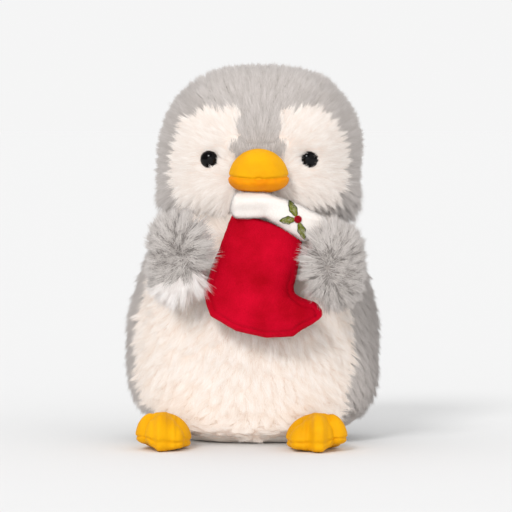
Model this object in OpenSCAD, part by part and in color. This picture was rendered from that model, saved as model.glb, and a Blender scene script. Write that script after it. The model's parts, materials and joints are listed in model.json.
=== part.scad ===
// Sitting plush penguin that holds a padded stocking against its chest.
// It faces -Y and stands on Z = 0. Left and right are the toy's own sides, so its left is +X.
// Each fur panel is a thick quilt, as deep as its backing and its mean pile.

/* [Torso] */
// Half width at the widest level
torso_half_w = 83.5; // [80:0.5:86]
// Depth from the torso axis to the front of the belly
torso_front = 62; // [60:0.5:64]
// Depth from the torso axis to the back
torso_back = 55; // [52:0.5:58]
// Height of the widest level
torso_mid_z = 60; // [56:1:64]
// Height of the neck seam
neck_z = 150; // [149:0.5:151]
// Distance of the torso axis behind the centre of the whole toy
axis_y = 19.5; // [15:0.5:22]
// Azimuth of the side seams, from straight ahead
side_seam = 71; // [66:1:76]

/* [Head] */
// Half width of the head
head_half_w = 69; // [66:0.5:71]
// Depth from the head axis to the brow
head_front = 58; // [56:0.5:60]
// Depth from the head axis to the back of the head
head_back = 52; // [48:0.5:54]
// Height of the widest level of the head
head_mid_z = 182; // [181:0.5:184]
// Height of the crown above the widest level
head_up = 68; // [64:1:72]
// Sideways offset of the head on the neck
head_x = 3; // [0:0.5:4]
// Tilt of the head, looking up
nod_limit = 12; // [4:1:12]

/* [Fabric] */
// Thickness of a long-pile panel, with its pile
fur_t = 8; // [6:0.5:9]
// Thickness of a short-nap panel
velboa_t = 2; // [1.5:0.1:2.5]
// Gap between neighbouring panels at a seam
seam_gap = 0.7; // [0.6:0.1:1]
// Gap between a filling and its cover
fill_gap = 1; // [0.6:0.1:2]

/* [Face] */
// Diameter of a safety eye
eye_d = 12; // [10:0.5:13]
// Height of the eye's dome
eye_h = 4.6; // [4:0.1:5]
// Diameter of the eye's shank
shank_d = 4; // [3:0.1:4.5]
// Half width of the beak
beak_half_w = 20; // [18:0.5:21]
// How far the beak stands out of the face
beak_len = 22; // [18:0.5:24]
// Height of the upper beak above the mouth
beak_up = 20; // [17:0.5:21]
// Depth of the lower beak under the mouth
beak_down = 8; // [7:0.5:9]

/* [Wings] */
// Side position of a wing's hinge line at the shoulder
shoulder_x = 70.5; // [70.5:0.5:71.5]
// Position of the hinge line in front of the torso axis
shoulder_y = 43.5; // [43.5:0.5:44]
// Half height of a wing at its thickest
wing_half_h = 33; // [30:0.5:34]
// Half thickness of a wing at its thickest
wing_half_t = 21.5; // [19:0.5:22]

/* [Feet] */
// Length of a foot from its root to its longest toe
foot_len = 40; // [36:0.5:42]
// Height of a foot
foot_h = 24; // [20:0.5:26]

/* [Stocking] */
// Half thickness of the padded stocking
stocking_half_t = 10; // [8:0.5:10.5]
// Half thickness of its cuff
cuff_half_t = 7.5; // [6:0.5:7.5]

/* [Hidden] */

// Colours of the fabrics and trims
grey_fur = [0.72, 0.70, 0.68];
cream_fur = [0.96, 0.90, 0.84];
pale_fur = [0.90, 0.87, 0.85];
filling = [0.97, 0.97, 0.95];
orange = [0.98, 0.72, 0.05];
red = [0.74, 0.03, 0.12];
white = [0.98, 0.95, 0.93];
olive = [0.42, 0.50, 0.18];
black = [0.05, 0.05, 0.05];

// Curvature: 2 is an ellipse, and more is boxier
plan_n = 2.2;
torso_up_n = 2.6;
torso_down_n = 3.5;
head_up_n = 2.35;
head_down_n = 6;

torso_up = 104;
torso_down = 63;
torso_levels = 14;
around = 32;
pellet_top = 44;
wad_r = 20;
head_down = head_mid_z - neck_z - 1.2;
neck_hole = 39;

// ---- Solids from rings and grids ----

// Two triangles across one cell of a grid
function cell(a, b, c, d) = [[a, b, c], [a, c, d]];

// A closed solid through rings of equal length, with a pole point at each end
module turned(pole_a, rings, pole_b) {
    n = len(rings[0]);
    last = len(rings) - 1;
    b = 1 + n * (last + 1);
    points = concat([pole_a], [for (r = rings) each r], [pole_b]);
    side = [for (i = [0:last - 1], j = [0:n - 1])
            let (k = (j + 1) % n, p = 1 + i * n, q = p + n)
            each cell(p + j, q + j, q + k, p + k)];
    start = [for (j = [0:n - 1]) [0, 1 + j, 1 + (j + 1) % n]];
    end = [for (j = [0:n - 1]) [b, 1 + last * n + (j + 1) % n, 1 + last * n + j]];
    polyhedron(points, concat(start, side, end), convexity = 8);
}

// A closed panel between two grids of equal size, its outer skin and its inner skin
module quilt(outer, inner) {
    rows = len(outer) - 1;
    cols = len(outer[0]) - 1;
    w = cols + 1;
    half = w * (rows + 1);
    points = concat([for (r = outer) each r], [for (r = inner) each r]);
    top = [for (i = [0:rows - 1], j = [0:cols - 1]) let (p = i * w + j)
           each cell(p, p + 1, p + w + 1, p + w)];
    low = [for (f = top) [half + f[2], half + f[1], half + f[0]]];
    ends = [for (j = [0:cols - 1]) let (p = j, q = rows * w + j)
            each concat(cell(p + 1, p, half + p, half + p + 1),
                        cell(q, q + 1, half + q + 1, half + q))];
    sides = [for (i = [0:rows - 1]) let (p = i * w, q = p + cols)
             each concat(cell(p, p + w, half + p + w, half + p),
                         cell(q + w, q, half + q, half + q + w))];
    polyhedron(points, concat(top, low, ends, sides), convexity = 8);
}

// A list from its end to its start
function backwards(list) = [for (i = [len(list) - 1:-1:0]) list[i]];

// ---- Torso surface ----

// Radius of a plan outline at azimuth a, where 0 is the front and 90 the toy's left
function plan_r(a, w, front, back) =
    let (d = cos(a) > 0 ? front : back)
    pow(pow(abs(sin(a)) / w, plan_n) + pow(abs(cos(a)) / d, plan_n), -1 / plan_n);

function torso_scale(z, t) =
    let (up = z > torso_mid_z,
         h = (up ? torso_up : torso_down) - t,
         n = up ? torso_up_n : torso_down_n)
    pow(max(0, 1 - pow(abs(z - torso_mid_z) / h, n)), 1 / n);

function torso_point(a, z, t) =
    let (r = torso_scale(z, t) * plan_r(a, torso_half_w - t, torso_front - t, torso_back - t))
    [r * sin(a), axis_y - r * cos(a), z];

// Levels from low to high, closer together at both ends
function levels(low, high, n) = [for (i = [0:n]) low + (high - low) * (1 - cos(180 * i / n)) / 2];

function torso_grid(a0, a1, n, low, t) =
    [for (z = backwards(levels(low, neck_z, torso_levels)))
     [for (j = [0:n]) torso_point(a0 + (a1 - a0) * j / n, z, t)]];

module torso_panel(a0, a1, n) {
    gap = seam_gap / 1.3;
    quilt(torso_grid(a0 + gap, a1 - gap, n, 0, 0), torso_grid(a0 + gap, a1 - gap, n, fur_t, fur_t));
}

module belly_panel() {
    color(cream_fur) torso_panel(-side_seam, side_seam, 14);
}

module back_panel_left() {
    color(grey_fur) torso_panel(side_seam, 180, 11);
}

module back_panel_right() {
    color(grey_fur) torso_panel(-180, -side_seam, 11);
}

module base_panel() {
    rim = [for (j = [0:around - 1]) let (p = torso_point(360 * j / around, fur_t, fur_t)) [p.x, p.y]];
    middle = [0, axis_y];
    color(grey_fur)
        linear_extrude(fur_t - fill_gap)
            polygon([for (p = rim) middle + (p - middle) * 0.99]);
}

// Rings of the space inside the torso, t under the fur's surface
function torso_rings(low, high, n, t) =
    [for (z = levels(low, high, n)) [for (j = [0:around - 1]) torso_point(360 * j / around, z, t)]];

module body_stuffing() {
    t = fur_t + fill_gap;
    low = pellet_top + 1;
    high = neck_z - 0.5;
    color(filling)
        difference() {
            turned([0, axis_y, low], torso_rings(low, high, 7, t), [0, axis_y, high]);
            neck_ball(wad_r + 0.5);
        }
}

module pellet_bag() {
    t = fur_t + fill_gap;
    low = fur_t;
    color(white)
        turned([0, axis_y, low],
               concat(torso_rings(low, pellet_top, 5, t),
                      backwards(torso_rings(low + 1, pellet_top - 1, 5, t + 1))),
               [0, axis_y, low + 1]);
}

module pellets() {
    t = fur_t + fill_gap + 1.6;
    low = fur_t + 2;
    high = pellet_top - 2;
    color(pale_fur)
        turned([0, axis_y, low], torso_rings(low, high, 4, t), [0, axis_y, high]);
}

module care_label() {
    color(white)
        translate([-26, axis_y + 47, 9])
            cube([14, 8.5, 0.8]);
}

module neck_ball(r) {
    translate([head_x, axis_y, neck_z]) sphere(r, $fn = 64);
}

module neck_wad() {
    color(filling) neck_ball(wad_r);
}

// ---- Head surface ----

// Directions run over the head from ear to ear: up is 0 at the front, 90 at the crown and
// 180 at the back, and side runs from 0 on the middle line to 90 at the left ear.
function head_direction(up, side) = [sin(side), -cos(side) * cos(up), cos(side) * sin(up)];

// The underside rises towards the back, which leaves room for the nod.
function head_point(up, side, t) =
    let (d = head_direction(up, side),
         above = d.z > 0,
         depth = (d.y < 0 ? head_front : head_back) - t,
         h = (above ? head_up : head_down) - t,
         n = above ? head_up_n : head_down_n,
         rise = above ? d.z : -d.z + tan(nod_limit + 1) * max(0, d.y),
         q = pow(pow(abs(d.x) / (head_half_w - t), plan_n) + pow(abs(d.y) / depth, plan_n),
                 1 / plan_n),
         r = pow(pow(q, n) + pow(rise / h, n), -1 / n))
    [head_x + r * d.x, axis_y + r * d.y, head_mid_z + r * d.z];

// The face's front surface at a place seen from straight ahead
function face_y(x, z, t) =
    let (above = z > 0,
         h = (above ? head_up : head_down) - t,
         n = above ? head_up_n : head_down_n,
         s = pow(1 - pow(abs(z) / h, n), 1 / n))
    axis_y - (head_front - t) * s * pow(1 - pow(abs(x) / (head_half_w - t) / s, plan_n), 1 / plan_n);

// Edges of the panels, as side angles at their up angles
patch_inner = [[-51, 0], [-24, 0], [-14, 13], [6, 16], [20, 12.5], [30, 15], [37, 21], [43, 31]];
patch_outer = [[-51, 40], [-40, 50], [-20, 60], [8, 63], [24, 58], [35, 48], [43, 36]];
crown_edge = [[16, 13], [20, 12.5], [30, 15], [37, 21], [43, 30], [46, 33], [70, 36], [90, 36],
              [120, 33], [160, 27], [200, 24], [230, 24]];
side_edge = concat([[-180, 25.5], [-160, 24], [-130, 24], [-128, neck_hole], [-52, neck_hole]],
                   patch_outer, [[46, 33], [70, 36], [90, 36], [120, 33], [160, 27], [180, 25.5]]);

// A grid over the head between two edges, mirrored to the left (1) or the right (-1) side
function head_grid(ups, inner, outer, n, mirrored, t) =
    [for (up = ups)
     let (a = lookup(up, inner) + seam_gap, b = lookup(up, outer) - seam_gap)
     [for (j = [0:n]) head_point(up, mirrored * (a + (b - a) * (mirrored > 0 ? j : n - j) / n), t)]];

module face_panel(mirrored) {
    ups = [for (i = [0:12]) 42.5 - i * 7.75];
    color(cream_fur)
        difference() {
            quilt(head_grid(ups, patch_inner, patch_outer, 8, mirrored, 0),
                  head_grid(ups, patch_inner, patch_outer, 8, mirrored, fur_t));
            eye_place(mirrored) eye_seat(0.4);
        }
}

module face_panel_left() { face_panel(1); }
module face_panel_right() { face_panel(-1); }

// A grid across the middle line of the head
function middle_grid(ups, edge, n, t) =
    [for (up = ups) let (w = lookup(up, edge) - seam_gap)
     [for (j = [0:n]) head_point(up, -w + 2 * w * j / n, t)]];

module crown_panel() {
    ups = [for (i = [0:22]) 228 - i * 9.6];
    color(grey_fur) quilt(middle_grid(ups, crown_edge, 8, 0), middle_grid(ups, crown_edge, 8, fur_t));
}

module bridge_panel() {
    ups = [15.5, 8, 0, -8, -15, -21];
    color(grey_fur)
        quilt(middle_grid(ups, patch_inner, 4, 0), middle_grid(ups, patch_inner, 4, fur_t));
}

// Rings around the ear, out to the edge of the side panel
function side_ring(part, mirrored, t) =
    [for (i = [0:35]) let (up = mirrored * (i * 10 - 180),
                           edge = 90 - lookup(up, side_edge) - seam_gap)
     head_point(up, mirrored * (90 - edge * part), t)];

module head_side(mirrored) {
    parts = [0.25, 0.5, 0.75, 1];
    color(grey_fur)
        turned(head_point(0, mirrored * 90, 0),
               concat([for (p = parts) side_ring(p, mirrored, 0)],
                      [for (p = backwards(parts)) side_ring(p, mirrored, fur_t)]),
               head_point(0, mirrored * 90, fur_t));
}

module head_side_left() { head_side(1); }
module head_side_right() { head_side(-1); }

module head_stuffing() {
    t = fur_t + 2 * fill_gap;
    rings = [for (side = [78:-13:-78]) [for (j = [0:23]) head_point(j * 15, side, t)]];
    color(filling)
        difference() {
            turned(head_point(0, 90, t), rings, head_point(0, -90, t));
            neck_ball(wad_r + 0.5);
            for (mirrored = [-1, 1])
                eye_place(mirrored) eye_seat(0.8);
        }
}

// ---- Eyes ----

eye_up = 5;
eye_side = 31.5;
eye_yaw = 21;
eye_sink = 2.4;

module eye_place(mirrored) {
    translate(head_point(eye_up, mirrored * eye_side, 0))
        rotate([90 - 3, 0, mirrored * eye_yaw])
            children();
}

// The dome has a flat back, a shank through the panel and a washer that locks it.
module eye_left() { eye(1); }
module eye_right() { eye(-1); }

module eye(mirrored) {
    r = eye_d / 2;
    dome_r = (r * r + eye_h * eye_h) / (2 * eye_h);
    color(black)
        eye_place(mirrored) {
            translate([0, 0, -eye_sink])
                intersection() {
                    translate([0, 0, eye_h - dome_r]) sphere(dome_r, $fn = 64);
                    cylinder(h = eye_h, r = r, $fn = 64);
                }
            translate([0, 0, -eye_sink - 13]) cylinder(h = 13.5, d = shank_d, $fn = 32);
        }
}

module eye_washer(mirrored) {
    color(white)
        eye_place(mirrored)
            translate([0, 0, -eye_sink - 11])
                difference() {
                    cylinder(h = 1.5, d = 14, $fn = 48);
                    translate([0, 0, -1]) cylinder(h = 4, d = shank_d, $fn = 32);
                }
}

module eye_washer_left() { eye_washer(1); }
module eye_washer_right() { eye_washer(-1); }

// Room for an eye and its washer, with a gap g around them
module eye_seat(g) {
    translate([0, 0, -eye_sink - g]) cylinder(h = 20, r = eye_d / 2 + g, $fn = 64);
    translate([0, 0, -eye_sink - 14]) cylinder(h = 20, d = shank_d + 2 * g, $fn = 32);
    translate([0, 0, -eye_sink - 14]) cylinder(h = 14 - fur_t + eye_sink + 1, r = 7 + g, $fn = 48);
}

// ---- Beak ----

beak_mouth = -9;
beak_root = 0.3;

// A point of the beak: turn runs around the mouth's line, and out from the root (0) to the tip (90)
function beak_point(turn, out, t) =
    let (w = beak_half_w - t,
         h = (sin(turn) > 0 ? beak_up : beak_down) - t,
         root = face_y(w * cos(turn), beak_mouth + h * sin(turn), 0) - beak_root,
         tip = axis_y - head_front - beak_len + t)
    [head_x + w * cos(turn) * cos(out), root + (tip - root) * sin(out),
     head_mid_z + beak_mouth + h * sin(turn) * cos(out)];

function beak_grid(from, n, t) =
    [for (out = [85, 74, 60, 45, 30, 15, 0])
     [for (j = [0:n]) beak_point(from + 2 + 176 * j / n, out, t)]];

module beak_shell(from, n) {
    color(orange) quilt(beak_grid(from, n, 0), beak_grid(from, n, velboa_t));
}

module beak_upper() { beak_shell(0, 12); }
module beak_lower() { beak_shell(180, 8); }

module beak_stuffing() {
    t = velboa_t + 0.6;
    back = [head_x, face_y(0, beak_mouth, 0) - beak_root, head_mid_z + beak_mouth];
    color(filling)
        turned(beak_point(0, 90, t),
               [for (out = [75, 55, 35, 15, 2]) [for (j = [0:19]) beak_point(-j * 18, out, t)]],
               back);
}

// ---- Wings ----

// Stations along a wing: distance in front of the shoulder, share of the way from the
// shoulder to the tip, and shares of the full half thickness and half height
wing_stations = [[-8.5, 0, 0.16, 0.36], [-5, 0, 0.33, 0.52], [0, 0, 0.41, 0.62],
                 [9, 0.2, 0.6, 0.8], [19, 0.43, 0.82, 0.94], [29, 0.65, 0.97, 1],
                 [38, 0.84, 1, 0.97], [44.5, 0.95, 0.84, 0.8], [49, 1, 0.56, 0.52],
                 [51.5, 1, 0.22, 0.2]];

// The right wing reaches further in and sits higher than the left one.
function tip_x(side) = side > 0 ? 48 : 44;
function wing_z(side) = side > 0 ? 118 : 124;

// Where the inner panel starts, and how far it runs around the wing: 0 is outward and 90 up
function inner_start(side) = side > 0 ? 120 : 135;
function inner_run(side) = side > 0 ? 130 : 180;

function wing_point(side, s, turn, t) =
    let (x = shoulder_x + (tip_x(side) - shoulder_x) * s[1],
         thick = max(0.6, wing_half_t * s[2] - t),
         high = max(0.8, wing_half_h * s[3] - t))
    [side * (x + thick * cos(turn)), axis_y - shoulder_y - s[0] + t * s[0] / 52,
     wing_z(side) + high * sin(turn)];

function wing_grid(side, from, run, n, t) =
    [for (s = wing_stations)
     [for (j = [0:n]) wing_point(side, s, from + run * (side > 0 ? n - j : j) / n, t)]];

module wing_panel(side, from, run, n) {
    gap = 1.6;
    quilt(wing_grid(side, from + gap, run - 2 * gap, n, 0),
          wing_grid(side, from + gap, run - 2 * gap, n, fur_t * 0.75));
}

module wing_outer(side) {
    color(grey_fur)
        wing_panel(side, inner_start(side) + inner_run(side), 360 - inner_run(side), 12);
}

module wing_inner(side) {
    color(pale_fur) wing_panel(side, inner_start(side), inner_run(side), 9);
}

module wing_stuffing(side) {
    t = fur_t * 0.75 + 2 * fill_gap;
    inner_stations = [for (i = [3:8]) wing_stations[i]];
    rings = [for (s = inner_stations) [for (j = [0:19]) wing_point(side, s, side * j * 18, t)]];
    back = wing_point(side, wing_stations[2], 90, t);
    front = wing_point(side, wing_stations[8], 90, t);
    color(filling)
        turned([back.x, back.y, wing_z(side)], rings, [front.x, front.y - 0.5, wing_z(side)]);
}

module wing_outer_left() { wing_outer(1); }
module wing_inner_left() { wing_inner(1); }
module wing_stuffing_left() { wing_stuffing(1); }
module wing_outer_right() { wing_outer(-1); }
module wing_inner_right() { wing_inner(-1); }
module wing_stuffing_right() { wing_stuffing(-1); }

// ---- Feet ----

// Each foot points forward from its root under the belly, and toes out.
foot_x = [36, -50];
foot_y = [55.5, 51];
foot_yaw = [12, -25];
foot_seam = 6;
foot_pole = 14;
toe_step = 46;
toe_depth = 2.8;
foot_around = 60;

module foot_place(i) {
    translate([foot_x[i], axis_y - foot_y[i], 0]) rotate([0, 0, foot_yaw[i]]) children();
}

// The outline has three toes, a step apart, around the pole of the foot.
function toes(turn) = abs(turn) < 1.5 * toe_step ? 2 * sqrt(abs(cos(turn * 180 / toe_step))) - 1
                      : -max(0, 1 - (abs(turn) - 1.5 * toe_step) / 30);
function foot_r(turn) = foot_len * (0.49 + 0.08 * cos(turn)) + toe_depth * toes(turn);

function foot_point(turn, share, z, t) =
    let (r = (foot_r(turn) - t) * share)
    [r * sin(turn), -foot_pole - r * cos(turn), z];

// Height of the foot's top at a share of its outline, with creases between the toes
function foot_top_z(turn, share, t) =
    foot_seam + (foot_h - foot_seam - t)
    * pow(1 - pow(share, 2.4), 1 / 2.4) * (1 - 0.13 * share * (1 - toes(turn)));

top_shares = [0.3, 0.55, 0.75, 0.9, 0.98, 1];
sole_shares = [[0.45, 0], [0.85, 0], [0.95, 0.2], [1, 0.9]];

function foot_top_ring(share, t) =
    [for (j = [0:foot_around - 1]) let (turn = 180 - 360 * j / foot_around)
     foot_point(turn, share, foot_top_z(turn, share, t) + 0.4, t)];
function foot_sole_ring(s, t) =
    [for (j = [0:foot_around - 1])
     foot_point(180 - 360 * j / foot_around, s[0], t + (foot_seam - t - 0.1) * s[1], t)];

module foot_top(i) {
    color(orange)
        foot_place(i)
            turned([0, -foot_pole, foot_h + 0.4],
                   concat([for (s = top_shares) foot_top_ring(s, 0)],
                          [for (s = backwards(top_shares)) foot_top_ring(s, velboa_t)]),
                   [0, -foot_pole, foot_h - velboa_t + 0.4]);
}

module foot_sole(i) {
    color(orange)
        foot_place(i)
            turned([0, -foot_pole, velboa_t],
                   concat([for (s = sole_shares) foot_sole_ring(s, velboa_t)],
                          [for (s = backwards(sole_shares)) foot_sole_ring(s, 0)]),
                   [0, -foot_pole, 0]);
}

module foot_stuffing(i) {
    t = velboa_t + fill_gap;
    color(filling)
        foot_place(i)
            turned([0, -foot_pole, foot_h - t],
                   concat([for (s = [0.4, 0.7, 0.9, 0.98]) foot_top_ring(s, t)],
                          [for (s = [[0.97, 0.7], [0.9, 0.2], [0.5, 0]]) foot_sole_ring(s, t)]),
                   [0, -foot_pole, t]);
}

module foot_top_left() { foot_top(0); }
module foot_sole_left() { foot_sole(0); }
module foot_stuffing_left() { foot_stuffing(0); }
module foot_top_right() { foot_top(1); }
module foot_sole_right() { foot_sole(1); }
module foot_stuffing_right() { foot_stuffing(1); }

// ---- Stocking ----

// Sections from the cuff to the toe: middle x and z, half width, tilt, share of the thickness
stocking_sections = [[9, 143.8, 24.5, -13, 0.7], [4.5, 129, 27.5, -11, 0.95],
                     [0, 114, 29.5, -6, 1], [-4, 101, 30, 0, 1], [0, 92.5, 30.5, 12, 1],
                     [10, 86, 25.5, 22, 0.95], [22, 82, 19.5, 32, 0.8], [32, 80.5, 12.5, 42, 0.6],
                     [38.5, 80.5, 7, 50, 0.4], [42.5, 82, 2.5, 55, 0.18]];

// The stocking leans back with the chest.
function stocking_y(z) = axis_y - 73.5 + (z - 75) * 0.14;

function stocking_point(s, turn, t) =
    let (across = max(0.6, s[2] - t) * cos(turn),
         z = s[1] + across * sin(s[3]),
         thick = max(0.5, stocking_half_t * s[4] - t))
    [s[0] + across * cos(s[3]), stocking_y(z) - thick * sin(turn), z];

function stocking_grid(from, n, t) =
    [for (s = stocking_sections) [for (j = [0:n]) stocking_point(s, from + 177 - 174 * j / n, t)]];

module stocking_front() {
    color(red) quilt(stocking_grid(0, 12, 0), stocking_grid(0, 12, velboa_t));
}

module stocking_back() {
    color(red) quilt(stocking_grid(180, 12, 0), stocking_grid(180, 12, velboa_t));
}

module stocking_stuffing() {
    t = velboa_t + 0.6;
    filled = [for (i = [0:7]) stocking_sections[i]];
    rings = [for (s = filled) [for (j = [0:23]) stocking_point(s, j * 15, t)]];
    color(filling)
        turned([9, stocking_y(144), 144.3], rings, [33, stocking_y(80), 80]);
}

// Sections along the cuff: x, middle z, half height, share of the thickness
cuff_sections = [[-15.5, 156, 3.5, 0.4], [-13, 156, 7, 0.8], [-4, 156.2, 8, 1],
                 [8, 155.6, 8.4, 1], [20, 153.6, 8.8, 1], [31, 151.6, 8, 1], [39, 150.8, 5.2, 0.85],
                 [45, 150.8, 3, 0.6], [49, 151, 1.2, 0.3]];
cuff_y = axis_y - 68.5;

function boxy(c) = sign(c) * pow(abs(c), 0.7);

module stocking_cuff() {
    rings = [for (s = cuff_sections)
             [for (j = [0:19])
              [s[0], cuff_y + cuff_half_t * s[3] * boxy(cos(j * 18)), s[1] + s[2] * boxy(sin(j * 18))]]];
    color(white)
        turned([-16, cuff_y, 156], rings, [49.5, cuff_y, 151]);
}

// ---- Holly ----

holly_x = 28;
holly_z = 148.5;
leaf_w = 4.4;

// Turn of each leaf from straight up, its length, and how far it leans back along the cuff
leaves = [[22, 12.5, 14], [88, 11, 0], [-163, 12, -14]];

module leaf(length) {
    r = (length * length + leaf_w * leaf_w) / (4 * leaf_w);
    translate([0, length / 2])
        intersection() {
            translate([r - leaf_w / 2, 0]) circle(r, $fn = 96);
            translate([leaf_w / 2 - r, 0]) circle(r, $fn = 96);
        }
}

module holly_place() {
    translate([holly_x, cuff_y - cuff_half_t - 0.1, holly_z]) rotate([90, 0, 0]) children();
}

module holly_leaves() {
    color(olive)
        holly_place()
            for (l = leaves)
                rotate([0, 0, l[0]])
                    translate([0, 2.2, 0])
                        rotate([-abs(l[2]), 0, 0])
                            linear_extrude(0.8) leaf(l[1]);
}

module holly_berry() {
    color(red) holly_place() cylinder(h = 1.6, d = 4.2, $fn = 32);
}

// ---- Assembly ----

belly_panel();
back_panel_left();
back_panel_right();
base_panel();
body_stuffing();
pellet_bag();
pellets();
care_label();
stocking_front();
stocking_back();
stocking_stuffing();
stocking_cuff();
holly_leaves();
holly_berry();
neck_wad();
crown_panel();
head_side_left();
head_side_right();
bridge_panel();
face_panel_left();
face_panel_right();
head_stuffing();
eye_left();
eye_right();
eye_washer_left();
eye_washer_right();
beak_upper();
beak_lower();
beak_stuffing();
wing_outer_left();
wing_inner_left();
wing_stuffing_left();
wing_outer_right();
wing_inner_right();
wing_stuffing_right();
foot_top_left();
foot_sole_left();
foot_stuffing_left();
foot_top_right();
foot_sole_right();
foot_stuffing_right();
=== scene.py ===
# %% [markdown]
# # A plush penguin holding a stocking
# The real toy is a set of stuffed bags. Each bag is cut from long-pile fabric, sewn inside out,
# turned and filled. So each body part is built in the same order here: a backing skin with the
# bag's shape, a cloth simulation that fills it with air, and then the pile that grows from it.
# The frame gives the places of all panels. Where the cloth hangs differently from a panel, its
# skin is reshaped by a few millimetres before the pile grows.

# %% Open the frame
import bpy
import bmesh
import json
import math
import numpy as np
from mathutils import Matrix, Vector
from mathutils.bvhtree import BVHTree
from mathutils.kdtree import KDTree

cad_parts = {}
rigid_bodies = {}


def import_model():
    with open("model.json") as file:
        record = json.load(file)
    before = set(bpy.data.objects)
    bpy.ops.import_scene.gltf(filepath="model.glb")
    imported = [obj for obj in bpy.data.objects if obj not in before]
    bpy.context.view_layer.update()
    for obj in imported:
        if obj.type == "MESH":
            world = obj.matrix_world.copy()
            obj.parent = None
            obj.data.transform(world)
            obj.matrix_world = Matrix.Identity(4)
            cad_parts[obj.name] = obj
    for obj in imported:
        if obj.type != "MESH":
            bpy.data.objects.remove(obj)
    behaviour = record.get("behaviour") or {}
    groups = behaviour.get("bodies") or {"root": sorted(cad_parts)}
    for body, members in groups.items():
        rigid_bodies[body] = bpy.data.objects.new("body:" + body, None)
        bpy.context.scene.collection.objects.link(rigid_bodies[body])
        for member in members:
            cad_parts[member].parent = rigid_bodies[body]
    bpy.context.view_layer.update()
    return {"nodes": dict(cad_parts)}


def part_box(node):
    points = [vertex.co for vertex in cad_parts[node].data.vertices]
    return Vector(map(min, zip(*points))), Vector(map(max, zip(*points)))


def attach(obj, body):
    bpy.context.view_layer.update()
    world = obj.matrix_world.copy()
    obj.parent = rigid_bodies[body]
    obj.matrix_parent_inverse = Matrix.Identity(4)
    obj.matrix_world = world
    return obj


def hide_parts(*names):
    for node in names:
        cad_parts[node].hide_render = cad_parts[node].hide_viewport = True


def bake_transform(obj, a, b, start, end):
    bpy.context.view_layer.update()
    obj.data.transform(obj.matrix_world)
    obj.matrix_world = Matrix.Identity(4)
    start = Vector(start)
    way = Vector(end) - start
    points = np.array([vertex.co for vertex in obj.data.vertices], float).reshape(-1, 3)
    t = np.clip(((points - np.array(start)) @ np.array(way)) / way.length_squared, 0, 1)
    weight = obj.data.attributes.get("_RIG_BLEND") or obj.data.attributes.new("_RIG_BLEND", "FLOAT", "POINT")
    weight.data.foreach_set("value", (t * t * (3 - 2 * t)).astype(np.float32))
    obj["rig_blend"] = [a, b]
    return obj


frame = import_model()
cad_nodes = frame["nodes"]



def new_object(name, data):
    """An object with that data, linked to the scene."""
    made = bpy.data.objects.new(name, data)
    bpy.context.collection.objects.link(made)
    return made


def mesh_of(build, name):
    """A bmesh that is ready, as a mesh of that name."""
    mesh = bpy.data.meshes.new(name)
    build.to_mesh(mesh)
    build.free()
    return mesh


# %% [markdown]
# ## Camera and studio
# A long lens far away keeps a small toy's proportions true, so the camera stands two metres off.
# The studio is a wide pale floor under an even sky, with two broad sun lamps. Suns light a
# floor evenly at any distance, and area lamps would leave a bright pool near the toy.

# %% Camera
AIM = Vector((0.0013, -0.020, 0.1235))
VIEW_DISTANCE = 2.0
VIEW_RISE = math.radians(2.5)
VIEW_WIDTH = 0.333
SENSOR_WIDTH = 36

camera_data = bpy.data.cameras.new("camera")
camera_data.sensor_width = SENSOR_WIDTH
camera_data.lens = SENSOR_WIDTH * VIEW_DISTANCE / VIEW_WIDTH
camera_data.clip_end = 200
camera = new_object("camera", camera_data)
camera.location = AIM + VIEW_DISTANCE * Vector((0, -math.cos(VIEW_RISE), math.sin(VIEW_RISE)))
camera.rotation_euler = (math.pi / 2 - VIEW_RISE, 0, 0)
bpy.context.scene.camera = camera
print("lens, mm:", round(camera_data.lens, 1))

# %% Lights and floor
SKY = 0.915
GLOSS_SKY = 0.22
FLOOR_GREY = 0.761
FLOOR_RADIUS = 60


def sun(name, strength, spread, towards):
    """A sun lamp that shines in the direction towards, with soft shadows of that angle."""
    data = bpy.data.lights.new(name, "SUN")
    data.energy = strength
    data.angle = math.radians(spread)
    lamp = new_object(name, data)
    lamp.rotation_euler = Vector(towards).to_track_quat("-Z", "Y").to_euler()


sun("key_light", 1.15, 16, (0.4, 0.85, -0.75))
sun("fill_light", 0.35, 60, (-0.7, 0.7, -0.4))
sun("low_light", 0.5, 50, (0.15, 1, -0.05))

world = bpy.data.worlds.new("studio")
world.use_nodes = True
studio = world.node_tree
walls = studio.nodes.new("ShaderNodeMix")
walls.data_type = "RGBA"
walls.inputs[6].default_value = (SKY, SKY, SKY, 1)
walls.inputs[7].default_value = (GLOSS_SKY, GLOSS_SKY, GLOSS_SKY, 1)
rays = studio.nodes.new("ShaderNodeLightPath")
studio.links.new(rays.outputs["Is Glossy Ray"], walls.inputs[0])
studio.links.new(walls.outputs[2], studio.nodes["Background"].inputs["Color"])
bpy.context.scene.world = world
bpy.context.scene.view_settings.view_transform = "Standard"

floor_build = bmesh.new()
bmesh.ops.create_circle(floor_build, cap_ends=True, segments=96, radius=FLOOR_RADIUS)
floor_mesh = mesh_of(floor_build, "floor")
floor = new_object("floor", floor_mesh)
floor.visible_shadow = False

floor_paint = bpy.data.materials.new("floor_paint")
floor_paint.use_nodes = True
floor_shader = floor_paint.node_tree.nodes["Principled BSDF"]
floor_shader.inputs["Base Color"].default_value = (FLOOR_GREY, FLOOR_GREY, FLOOR_GREY, 1)
floor_shader.inputs["Roughness"].default_value = 1
floor_shader.inputs["Specular IOR Level"].default_value = 0
floor_mesh.materials.append(floor_paint)
print("floor and lights are in")
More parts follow.
